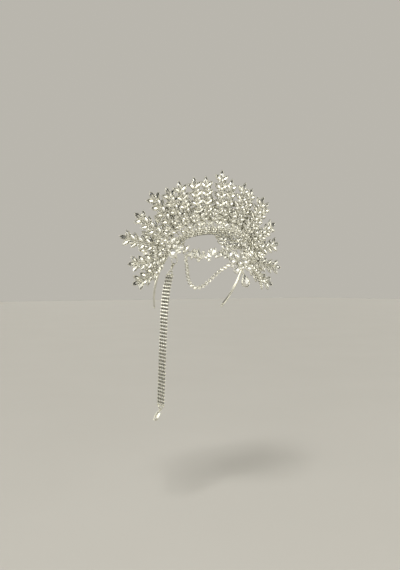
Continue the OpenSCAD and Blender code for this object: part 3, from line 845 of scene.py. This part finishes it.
def silver_material(name, stops):
    """Plated metal: its tone varies a little and its polish is worn in spots."""
    m, nodes, links, shader = new_material(name)
    shader.inputs["Metallic"].default_value = 1
    tone = object_noise(nodes, links, 180)
    colour = ramp(nodes, links, tone.outputs["Fac"], stops)
    links.new(colour.outputs["Color"], shader.inputs["Base Color"])
    spots = object_noise(nodes, links, 900, 2)
    rough = nodes.new("ShaderNodeMapRange")
    rough.inputs["To Min"].default_value = POLISHED
    rough.inputs["To Max"].default_value = WORN
    links.new(spots.outputs["Fac"], rough.inputs["Value"])
    links.new(rough.outputs["Result"], shader.inputs["Roughness"])
    bump = nodes.new("ShaderNodeBump")
    bump.inputs["Strength"].default_value = 0.12
    bump.inputs["Distance"].default_value = 0.0001
    links.new(spots.outputs["Fac"], bump.inputs["Height"])
    links.new(bump.outputs["Normal"], shader.inputs["Normal"])
    return m


def crystal_material():
    """Foiled glass under a clear polished surface; its colour is painted reflection, a tone for each face from
    its attribute.
    """
    m, nodes, links, shader = new_material("crystal_painted_reflection")
    painted_reflection = nodes.new("ShaderNodeAttribute")
    painted_reflection.attribute_name = "painted_reflection"
    tone = ramp(nodes, links, painted_reflection.outputs["Fac"], PAINTED_CRYSTAL_REFLECTION)
    links.new(tone.outputs["Color"], shader.inputs["Base Color"])
    shader.inputs["Metallic"].default_value = 0.9
    shader.inputs["Roughness"].default_value = 0.05
    shader.inputs["IOR"].default_value = 1.55
    shader.inputs["Coat Weight"].default_value = 1
    shader.inputs["Coat Roughness"].default_value = 0.02
    return m


def floor_material():
    m, nodes, links, shader = new_material("pale_floor")
    tone = object_noise(nodes, links, 3)
    colour = ramp(nodes, links, tone.outputs["Fac"], PALE_FLOOR)
    links.new(colour.outputs["Color"], shader.inputs["Base Color"])
    shader.inputs["Roughness"].default_value = 0.8
    return m


# Camera, surroundings and lights
def set_camera():
    data = bpy.data.cameras.new("camera")
    data.lens = CAMERA_LENS
    data.sensor_width = SENSOR_W
    camera = new_object("camera", data)
    a = math.radians(CAMERA_AZIMUTH)
    camera.location = (
        AIM[0] + CAMERA_DISTANCE * math.sin(a), AIM[1] - CAMERA_DISTANCE * math.cos(a), AIM[2])
    camera.rotation_euler = (math.radians(90), 0, a)
    bpy.context.scene.camera = camera


def set_world():
    """Bright and dark zones all round for the stones to reflect, and one plain pale backdrop behind them."""
    world = bpy.data.worlds.new("studio")
    bpy.context.scene.world = world
    world.use_nodes = True
    nodes, links = world.node_tree.nodes, world.node_tree.links
    where = nodes.new("ShaderNodeTexCoord")
    parts = nodes.new("ShaderNodeSeparateXYZ")
    links.new(where.outputs["Generated"], parts.inputs["Vector"])
    height = nodes.new("ShaderNodeMapRange")
    height.inputs["From Min"].default_value = -1
    links.new(parts.outputs["Z"], height.inputs["Value"])
    zones = nodes.new("ShaderNodeTexNoise")
    zones.inputs["Scale"].default_value = PATCH_SCALE
    zones.inputs["Detail"].default_value = 1
    links.new(where.outputs["Generated"], zones.inputs["Vector"])
    patches = ramp(nodes, links, zones.outputs["Fac"], PATCHES)
    bands = ramp(nodes, links, height.outputs["Result"], BANDS)
    both = nodes.new("ShaderNodeMix")
    both.data_type = "RGBA"
    both.blend_type = "MULTIPLY"
    both.inputs["Factor"].default_value = 1
    links.new(bands.outputs["Color"], both.inputs["A"])
    links.new(patches.outputs["Color"], both.inputs["B"])
    around, behind = nodes["Background"], nodes.new("ShaderNodeBackground")
    links.new(both.outputs["Result"], around.inputs["Color"])
    around.inputs["Strength"].default_value = WORLD_STRENGTH
    behind.inputs["Color"].default_value = BACKDROP
    path = nodes.new("ShaderNodeLightPath")
    either = nodes.new("ShaderNodeMixShader")
    links.new(path.outputs["Is Camera Ray"], either.inputs["Fac"])
    links.new(around.outputs["Background"], either.inputs[1])
    links.new(behind.outputs["Background"], either.inputs[2])
    links.new(either.outputs["Shader"], nodes["World Output"].inputs["Surface"])
    bpy.context.scene.view_settings.view_transform = "Standard"


def area_light(name, place, energy, width, height):
    """A soft light that faces the origin."""
    data = bpy.data.lights.new(name, "AREA")
    data.shape = "RECTANGLE"
    data.size, data.size_y = width, height
    data.energy = energy
    o = new_object(name, data)
    o.rotation_euler = Vector(unit(place)).to_track_quat("Z", "Y").to_euler()
    o.location = place


def set_stage():
    mesh = bpy.data.meshes.new("floor")
    far, z = FLOOR_HALF, FLOOR_Z
    mesh.from_pydata([(-far, -far, z), (far, -far, z), (far, far, z), (-far, far, z)], [], [(0, 1, 2, 3)])
    mesh.materials.append(floor_material())
    floor = new_object("floor", mesh)
    sun = bpy.data.lights.new("sun_light", "SUN")
    sun.energy = SUN_STRENGTH
    sun.angle = math.radians(SUN_WIDTH)
    o = new_object("sun_light", sun)
    o.rotation_euler = [math.radians(a) for a in SUN_TURN]
    o.visible_glossy = False
    for row in AREA_LIGHTS:
        area_light(*row)


# The fan
def of_side(sprays, side):
    """The numbers and sprays of one side. The middle one, number 0, counts with the left."""
    return [(i, spray) for i, spray in enumerate(sprays) if i > 0 or side == "left"]


def build_spray(s, spray, m):
    for leaf in spray.leaves():
        s.add(setting("navette", LEAF_L, LEAF_W), m @ leaf)
    s.add(twisted(spray.line(), STEM_R), m)
    pad = [spray.low, spray.low + 0.15 * (spray.high - spray.low), spray.high]
    s.add(swept(pad, [0.9 * PAD_R, PAD_R, 0.7 * PAD_R], 14), m)


def build_fan(silver, crystal, sprays):
    for i, spray in enumerate(sprays):
        for side, m in SIDES if i > 0 else SIDES[:1]:
            name = f"spray_{side}_{i}" if i > 0 else "spray_centre"
            s = Shape()
            build_spray(s, spray, m)
            s.piece(f"{name}_metal", "silver", silver, [name])
    for side, m in SIDES:
        s = Shape()
        for i, spray in of_side(sprays, side):
            for k, leaf in enumerate(spray.leaves()):
                # Painted dark reflection on the tip leaf and on the upper leaves of the later sprays
                upper = i >= LEVEL_FROM and k % 2 == 0
                painted_dark = TIP_PAINTED_DARK if k == 0 else UPPER_PAINTED_DARK if upper else 0
                s.add(stone("navette", LEAF_L, LEAF_W), m @ leaf, painted_dark)
        s.piece(f"fan_crystals_{side}", "crystal", crystal, [f"fan_stones_{side}"])


def side_spray(a, b, reach, depth, leaf_l):
    """A smaller spray between two neighbours, which leans out of their plane."""
    foot = (a.foot + b.foot) / 2
    tip = (vec(*a.row[1]) + vec(*b.row[1])) / 2
    face = (a.row[4] + b.row[4]) / 2
    length = reach * min(a.length, b.length)
    tip = foot + length * unit(tip - foot) + depth * vec(-sin(face), -cos(face), 0)
    pitch = SIDE_PITCH * leaf_l
    pairs = int((length - leaf_l - SIDE_BARE) / pitch)
    row = ((a.row[0] + b.row[0]) / 2, tuple(tip), SIDE_BOW, pairs, face, 1 if depth > 0 else -1)
    return Spray(row, leaf_l, SIDE_WIDTH * leaf_l, pitch)


def fill_stem(metal, stones, spray, m):
    """Small leaves between the pairs of a spray, and from the last pair down to the band."""
    for k in range(spray.pairs):
        d = spray.end - FIRST_PAIR - LEAF_PITCH * (k + BETWEEN_AT)
        for hand in (1, -1):
            at = spray.leaf(d, hand * BETWEEN_ANGLE, hand * BETWEEN_TILT, BETWEEN_L) @ move(0, 0, BETWEEN_UP)
            add_pair(metal, stones, m @ at, "navette", BETWEEN_L, BETWEEN_W)
    d, l = spray.end - FIRST_PAIR - LEAF_PITCH * spray.pairs + LOWER_START, LOWER_L
    while d > LOWER_END:
        for hand in (1, -1):
            at = spray.leaf(d, hand * LOWER_ANGLE, hand * LEAF_TILT, l)
            add_pair(metal, stones, m @ at, "navette", l, LOWER_WIDTH * l)
        d -= LOWER_STEP * l
        l = max(LOWER_LEAST_L, l - LOWER_LESS)


def build_filling(silver, crystal, sprays):
    """The finest leaves and stones, down the stems to the band and between the sprays."""
    for side, m in SIDES:
        metal, stones = Shape(), Shape()
        for _, spray in of_side(sprays, side):
            fill_stem(metal, stones, spray, m)
        for a, b in zip(sprays, sprays[1:]):
            for row in SIDE_SPRAYS:
                small = side_spray(a, b, *row)
                for leaf in small.leaves():
                    add_pair(metal, stones, m @ leaf, "navette", small.leaf_l, small.leaf_w)
                metal.add(swept(small.line()[::3], SIDE_STEM_R), m)
        metal.piece(f"fan_filling_metal_{side}", "silver", silver)
        stones.piece(f"fan_filling_crystals_{side}", "crystal", crystal)


# The band
def build_lace(silver, crystal):
    """Rows of small stones along the front of the band, the lowest on its edge, each with its own nod."""
    for side, m in SIDES:
        metal, stones = Shape(), Shape()
        for row, (out, w, step) in enumerate(LACE):
            for k in range(int(LACE_REACH / step)):
                d = (k + 0.5) * step + LACE_SHIFT * row
                p, q = band_point(d, out, LACE_FRONT), band_point(d + 0.5, out, LACE_FRONT)
                nod = LACE_NOD * math.sin(2.1 * k + row)
                at = frame_at(p, unit(q - p), (0, -1, 0.1)) @ turn("x", nod) @ turn("y", 0.8 * nod)
                add_pair(metal, stones, m @ at, "round", w, w, LACE_CUP_H)
        metal.piece(f"lace_metal_{side}", "silver", silver)
        stones.piece(f"lace_crystals_{side}", "crystal", crystal, least_painted_tone=LEAST_PAINTED_TONE["lace"])


def rounded(half_x, half_y, r, corner=3):
    """A rectangle with round corners, as points."""
    out = []
    for k, (x, y) in enumerate(((1, 1), (-1, 1), (-1, -1), (1, -1))):
        turns = [90 * k + 90 * i / (corner - 1) for i in range(corner)]
        out += [(x * (half_x - r) + r * cos(a), y * (half_y - r) + r * sin(a)) for a in turns]
    return out


def build_band(silver, dark):
    """The strip with its rounded edges and eyelets, and the wire that is wound round it under the fan."""
    section = rounded(BAND_T / 2, BAND_W / 2, BAND_EDGE_R)
    places = np.linspace(-END_D, END_D, BAND_RINGS)
    verts = [band_point(d, x, y) for d in places for x, y in section]
    s = Shape()
    s.add((verts, tube_faces(BAND_RINGS, len(section)), True))
    along = from_arch((cos(ARCH_END), -sin(ARCH_END)))
    across = from_arch((0, 0), 1)
    at = from_arch(arch_xy(ARCH_END, BAND_T / 2)) + EYELET_OUT * along
    points = [at + EYELET_R * (cos(15 * k) * along + sin(15 * k) * across) for k in range(24)]
    eyelet = loop(points, EYELET_WIRE_R, unit(np.cross(along, across)))
    for _, m in SIDES:
        s.add(eyelet, m)
    s.piece("headband_metal", "silver", silver, ["headband"])
    wrap = rounded(BAND_T / 2 + WRAP_R, BAND_W / 2 + WRAP_R, WRAP_EDGE_R)
    n = len(wrap)
    count = int(2 * LACE_REACH / WRAP_PITCH * n)
    wire = [band_point(-LACE_REACH + WRAP_PITCH * k / n, *wrap[k % n]) for k in range(count)]
    s = Shape()
    s.add(swept(wire, WRAP_R, 5))
    # The wound wire is in the dark metal: painted shade along the band
    s.piece("band_wire", "silver", dark)


# Garland, temple clusters, flower and crest, each as frames for its stones
def garland_frames(rows):
    half_w, half_d = GARLAND_HALF
    out = []
    for a, z, shape, l, w, spin in rows:
        at = vec(-half_w * sin(a), GARLAND_MIDDLE_Y - half_d * cos(a), z)
        outward = unit(vec(-sin(a) / half_w, -cos(a) / half_d, GARLAND_UP / half_d))
        across = unit(vec(half_w * cos(a), -half_d * sin(a), 0))
        out.append((frame_at(at, across, outward) @ turn("z", spin), shape, l, w))
    return out


def plane_frames(plane, rows):
    base = frame_at(*plane)
    return [(base @ move(x, y, 0) @ turn("z", spin), shape, l, w) for x, y, shape, l, w, spin in rows]


# Planes of the temple cluster and the flower: middle, X direction and outward direction
TEMPLE_PLANE = (
    TEMPLE_AT, (cos(TEMPLE_TURN), -sin(TEMPLE_TURN), 0), (-sin(TEMPLE_TURN), -cos(TEMPLE_TURN), 0))
FLOWER_PLANE = (FLOWER_AT, (1, 0, 0), (0, -cos(FLOWER_SLOPE), sin(FLOWER_SLOPE)))


def crest_frames(top, foot, bow, first, pitch, pairs, leaf_l, leaf_w):
    """Leaves in pairs on a stem that is bowed forward, and its line."""
    top, foot = vec(*top), vec(*foot)
    length = np.linalg.norm(top - foot)
    arc_r = (length ** 2 / 4 + bow ** 2) / (2 * bow)
    half = math.degrees(math.asin(length / 2 / arc_r))
    base = frame_at(foot, unit(top - foot), (0, -0.6, 0.8))

    def at(a):
        return base @ move(length / 2 + arc_r * sin(a), 0, arc_r * cos(a) - arc_r + bow)

    leaves = []
    for k in range(pairs):
        a = math.degrees((first + pitch * k) / arc_r) - half
        for side in (1, -1):
            leaf = at(a) @ turn("y", a) @ turn("z", side * CREST_ANGLE) @ turn("x", side * LEAF_TILT)
            leaves.append((leaf @ move(leaf_l / 2 + LEAF_BOW, 0, -CUP_H / 2), "navette", leaf_l, leaf_w))
    return leaves, [at(a)[:3, 3] for a in np.linspace(-half, half, 24)]


def add_web(s, plane, rows, m=HERE):
    """Wires from a hub behind a cluster to the back of each cup."""
    base = m @ frame_at(*plane)
    s.add(swept([(0, 0, z) for z, _ in HUB], [r for _, r in HUB], 20), base)
    for x, y, *_ in rows:
        if math.hypot(x, y) > HUB_R:
            path = [(0, 0, -0.5), (0.5 * x, 0.5 * y, -0.9), (0.9 * x, 0.9 * y, -0.5), (x, y, SEAT_UP)]
            s.add(swept(smooth(path, 4), WEB_WIRE_R), base)


def run_frame(at, along):
    """A frame with Z along a run of links, and the links' plane across it."""
    along = unit(along)
    return frame_at(at, unit(np.cross((0, 1, 0), along)), along)


def middle_of(node):
    """Middle of a node's box, in millimetres."""
    low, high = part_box(node)
    return (vec(*low) + vec(*high)) / 2 / MM


def garland_metal(s, m):
    """The cups, the wire behind the large ones, and a spur from it to each small one."""
    large, small = garland_frames(GARLAND), garland_frames(GARLAND_SMALL)
    add_all(s, setting, large + small, m)
    backs = [above(at, -GARLAND_WIRE_BACK) for at, *_ in large]
    line = smooth([GARLAND_START, *backs, GARLAND_FINISH], 8)
    s.add(swept(line, GARLAND_WIRE_R), m)
    for at, *_ in small:
        back = above(at, -GARLAND_WIRE_BACK)
        near = min(line, key=lambda p: np.linalg.norm(p - back))
        s.add(swept([near, above(at, SEAT_UP)], SPUR_R), m)


def temple_metal(s, m):
    """The cups and their web, a post to the band, and the fixed loop that carries the oval ring."""
    add_all(s, setting, plane_frames(TEMPLE_PLANE, TEMPLE + TEMPLE_SMALL), m)
    add_web(s, TEMPLE_PLANE, TEMPLE + TEMPLE_SMALL, m)
    back = vec(*TEMPLE_AT) - POST_BACK * vec(*TEMPLE_PLANE[2])
    band_front = from_arch(arch_xy(TEMPLE_ON_ARCH, BAND_T / 2), BAND_W / 2 + PAD_GAP)
    s.add(swept(resampled([back, band_front], 1.5), POST_R, 10), m)
    run = unit(UPPER_RUN)
    at = middle_of("ring_right") + (RING_HALF_H + LOOP_R - 2 * RING_WIRE_R - LINK_PLAY) * run
    s.add(oval(LOOP_R, LOOP_R, RING_WIRE_R), m @ run_frame(at, run) @ turn("z", 90))
    seat = (frame_at(*TEMPLE_PLANE) @ vec(*TEMPLE[0][:2], SEAT_UP, 1))[:3]
    s.add(swept([at + LOOP_R * run, seat], LOOP_STEM_R, 10), m)


def build_clusters(silver, crystal):
    """The garland and the temple cluster on both sides."""
    garland = garland_frames(GARLAND + GARLAND_SMALL)
    temple = plane_frames(TEMPLE_PLANE, TEMPLE + TEMPLE_SMALL)

    def garland_stones(s, m):
        add_all(s, stone, garland, m)

    def temple_stones(s, m):
        add_all(s, stone, temple, m)

    both_sides(garland_metal, "garland_metal", "silver", silver, ["garland"])
    both_sides(temple_metal, "temple_metal", "silver", silver, ["temple"])
    both_sides(garland_stones, "garland_crystals", "crystal", crystal, ["garland_stones"], LEAST_PAINTED_TONE["garland"])
    both_sides(temple_stones, "temple_crystals", "crystal", crystal, ["temple_stones"], LEAST_PAINTED_TONE["temple"])


def build_flower(silver, crystal):
    rows = plane_frames(FLOWER_PLANE, FLOWER + FLOWER_SMALL)
    metal, stones = Shape(), Shape()
    add_all(metal, setting, rows)
    add_web(metal, FLOWER_PLANE, FLOWER + FLOWER_SMALL)
    metal.add(oval(HANG_LOOP_R, HANG_LOOP_R, HANG_WIRE_R), move(*FLOWER_LOOP_AT) @ turn("z", 90))
    add_all(stones, stone, rows)
    metal.piece("flower_metal", "silver", silver, ["flower"])
    stones.piece("flower_crystals", "crystal", crystal, ["flower_stones"], least_painted_tone=LEAST_PAINTED_TONE["flower"])


def build_crest(silver, crystal):
    leaves, line = crest_frames(*CREST)
    metal, stones = Shape(), Shape()
    add_all(metal, setting, leaves)
    metal.add(twisted(line, STEM_R))
    add_all(stones, stone, leaves)
    metal.piece("crest_metal", "silver", silver, ["crest"])
    stones.piece("crest_crystals", "crystal", crystal, ["crest_stones"], least_painted_tone=LEAST_PAINTED_TONE["crest"])
    metal, stones = Shape(), Shape()
    for _, m in SIDES:
        for row in CREST_SIDES:
            leaves, line = crest_frames(*row)
            add_all(metal, setting, leaves, m)
            metal.add(swept(line, CREST_SIDE_STEM_R), m)
            add_all(stones, stone, leaves, m)
    metal.piece("crest_side_metal", "silver", silver)
    stones.piece("crest_side_crystals", "crystal", crystal, least_painted_tone=LEAST_PAINTED_TONE["crest_side"])


def build_swags(silver, crystal, dark):
    """The cup chains, with links between the cups in the dark metal that paints shade between them."""
    points = resampled(smooth(SWAG, 6), SWAG_PITCH)
    rows = []
    for p, along in zip(points[:-1], directions(points)):
        outward = unit((p - vec(*SWAG_MIDDLE)) * vec(1, 1, 0.3))
        at = frame_at(p, along, outward) @ move(SWAG_PITCH / 2, 0, -SWAG_CUP_BACK)
        rows.append((at, "round", SWAG_CUP, SWAG_CUP, SWAG_CUP_H))

    def cups(s, m):
        add_all(s, setting, rows, m)

    def links(s, m):
        s.add(swept([above(at, SWAG_LINK_UP) for at, *_ in rows], SWAG_LINK_R), m)

    def stones(s, m):
        add_all(s, stone, rows, m)

    both_sides(cups, "swag_metal", "silver", silver, ["swag"])
    both_sides(links, "swag_links", "silver", dark)
    both_sides(stones, "swag_crystals", "crystal", crystal, least_painted_tone=LEAST_PAINTED_TONE["swag"])


def build_pendant(silver, crystal):
    """The drop in its setting, on a ring that turns in the flower's loop."""
    near = HANG_LOOP_R - 2 * HANG_WIRE_R - HANG_PLAY
    pivot = move(*(vec(*FLOWER_LOOP_AT) - vec(0, 0, near))) @ turn("y", -PENDANT_LEAN)
    drop = pivot @ move(0, 0, -2 * PENDANT_RING_R - near)
    at = drop @ move(0, DROP_H / 2, -HANG_LOOP_R - DROP_L / 2 + DROP_SUNK) @ turn("x", 90) @ turn("z", 90)
    s = Shape()
    s.add(oval(PENDANT_RING_R, PENDANT_RING_R, HANG_WIRE_R), pivot @ move(0, 0, -PENDANT_RING_R))
    s.piece("pendant_ring_metal", "silver", silver, ["pendant_ring"], "pendant")
    s = Shape()
    s.add(oval(HANG_LOOP_R, HANG_LOOP_R, HANG_WIRE_R), drop @ turn("z", 90))
    s.add(cup("pear", DROP_L, DROP_W, DROP_H, DROP_SIDES), at)
    add_claws(s, outline("pear", DROP_L, DROP_W, DROP_SIDES), DROP_CLAW_AT, DROP_H, DROP_CLAW, at)
    s.piece("pendant_metal", "silver", silver, ["pendant_setting"], "pendant")
    long, wide = DROP_L - TIP_ROOM * (CUP_WALL + STONE_GAP), DROP_W - 2 * CUP_WALL - 2 * STONE_GAP
    girdle, table = DROP_H - DROP_GIRDLE_DOWN, DROP_H + DROP_TABLE_UP
    s = Shape()
    # The drop's painted reflection, made darker
    s.add(cut_stone("pear", long, wide, DROP_CULET, girdle, table, DROP_TABLE), at, DROP_PAINTED_DARK)
    s.piece("pendant_crystal", "crystal", crystal, ["pendant_stone"], "pendant")


# The strap and its fittings
def strap_place(x, y, z):
    """From the strap's profile plane to the crown's frame."""
    top = STRAP[0][1]
    rel, lean, rise = z - top, sin(STRAP_LEAN), cos(STRAP_LEAN)
    return vec(x, STRAP_TOP_Y + y * rise - rel * lean, top + y * lean + rel * rise)


def add_strap_end(s, at, before):
    """The wire loop and the bar at an end of the strap."""
    along = unit(vec(*at) - vec(*before))
    line = []
    for t in range(0, 181, 10):
        p = vec(*at) + (ARCH_R * sin(t) - ARCH_SUNK) * along
        line.append(strap_place(p[0], ARCH_R * cos(t), p[1]))
    s.add(swept(line, ARCH_WIRE_R, 10))
    edge = STRAP_W / 2 - END_BAR_SHORT
    s.add(swept([strap_place(at[0], y, at[1]) for y in (-edge, -5, 0, 5, edge)], END_BAR_RADII, 10))


def build_strap(silver, crystal, dark):
    """Columns of cups, with links across and along them in the dark metal that paints shade between the cups,
    and a wire loop at each end.
    """
    rows = resampled(smooth([vec(x, 0, z) for x, z in STRAP], 4), STRAP_PITCH)
    metal, stones, links = Shape(), Shape(), Shape()
    pitch = STRAP_W / STRAP_COLUMNS
    columns = [(c - (STRAP_COLUMNS - 1) / 2) * pitch for c in range(STRAP_COLUMNS)]
    ends = (columns[0] - CROSS_LINK_PAST, columns[-1] + CROSS_LINK_PAST)
    for upper, lower in zip(rows, rows[1:]):
        mid, t = (upper + lower) / 2, unit(lower - upper)
        for y in columns:
            p = strap_place(mid[0], y, mid[2])
            q = strap_place(mid[0] + t[0], y, mid[2] + t[2])
            at = frame_at(p, unit(q - p), (-1, 0, 0)) @ move(0, 0, -STRAP_CUP_BACK)
            add_pair(metal, stones, at, "round", STRAP_CUP, STRAP_CUP, STRAP_CUP_H)
        links.add(swept([strap_place(upper[0] - LINK_BACK, y, upper[2]) for y in ends], CROSS_LINK_R))
    for y in [y + pitch / 2 for y in columns[:-1]] + columns:
        links.add(swept([strap_place(p[0] + LINK_BACK, y, p[2]) for p in rows], LONG_LINK_R))
    add_strap_end(metal, STRAP[0], STRAP[1])
    add_strap_end(metal, STRAP[-1], STRAP[-2])
    metal.piece("strap_metal", "silver", silver, ["strap"])
    stones.piece("strap_crystals", "crystal", crystal, least_painted_tone=LEAST_PAINTED_TONE["strap"])
    links.piece("strap_links", "silver", dark)


def build_ring(node, material, at, *sizes):
    """A wire ring in the place of its node."""
    s = Shape()
    s.add(oval(*sizes), at)
    s.piece(f"{node}_metal", "silver", material, [node])


def build_links(silver, nodes):
    """The rings at the temples, and the jump rings and lobster clasps of the strap."""
    upper, lower = unit(UPPER_RUN), unit(LOWER_RUN)
    for side, m in SIDES:
        at = m @ run_frame(middle_of("ring_right"), upper)
        build_ring(f"ring_{side}", silver, at, RING_HALF_W, RING_HALF_H, RING_WIRE_R)
    for node, run in (("jump_ring_upper", upper), ("jump_ring_lower", lower)):
        build_ring(node, silver, run_frame(middle_of(node), run), JUMP_R, JUMP_R, JUMP_WIRE_R)
    for node, width, body in CLASPS:
        softened(node, nodes[node].data, width, silver, body)


def softened(node, source, width, material, body):
    """The node's shape with its edges rounded, in its place."""
    shape = bmesh.new()
    shape.from_mesh(source)
    bmesh.ops.remove_doubles(shape, verts=shape.verts, dist=1e-6)
    bmesh.ops.dissolve_limit(
        shape, angle_limit=math.radians(FLAT_ANGLE), verts=shape.verts, edges=shape.edges)
    joined = [e for e in shape.edges if len(e.link_faces) == 2]
    sharp = [e for e in joined if e.calc_face_angle() > math.radians(EDGE_ANGLE)]
    bmesh.ops.bevel(
        shape, geom=sharp, offset=width * MM, segments=3, profile=0.5, affect="EDGES", clamp_overlap=True)
    for f in shape.faces:
        f.smooth = True
    mesh = bpy.data.meshes.new(f"{node}_metal")
    shape.to_mesh(mesh)
    shape.free()
    mesh.materials.clear()
    mesh.materials.append(material)
    o = new_object(f"{node}_metal", mesh)
    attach(o, body)
    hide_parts(node)


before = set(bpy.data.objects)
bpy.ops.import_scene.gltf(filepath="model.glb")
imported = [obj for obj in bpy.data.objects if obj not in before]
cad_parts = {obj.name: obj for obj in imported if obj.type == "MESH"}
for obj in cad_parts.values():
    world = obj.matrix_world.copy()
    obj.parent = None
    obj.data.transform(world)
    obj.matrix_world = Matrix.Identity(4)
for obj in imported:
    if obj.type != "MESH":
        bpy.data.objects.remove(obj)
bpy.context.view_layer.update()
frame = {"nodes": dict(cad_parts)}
set_camera()
set_world()
set_stage()
silver = silver_material("silver_plate", SILVER)
# A dark metal that paints shade in the gaps between parts
dark = silver_material("painted_shade_silver", PAINTED_SHADE_SILVER)
# Stones whose colour is painted reflection
crystal = crystal_material()
sprays = [Spray(row) for row in SPRAYS]
build_fan(silver, crystal, sprays)
build_filling(silver, crystal, sprays)
build_lace(silver, crystal)
build_band(silver, dark)
build_clusters(silver, crystal)
build_flower(silver, crystal)
build_crest(silver, crystal)
build_swags(silver, crystal, dark)
build_pendant(silver, crystal)
build_strap(silver, crystal, dark)
build_links(silver, frame["nodes"])
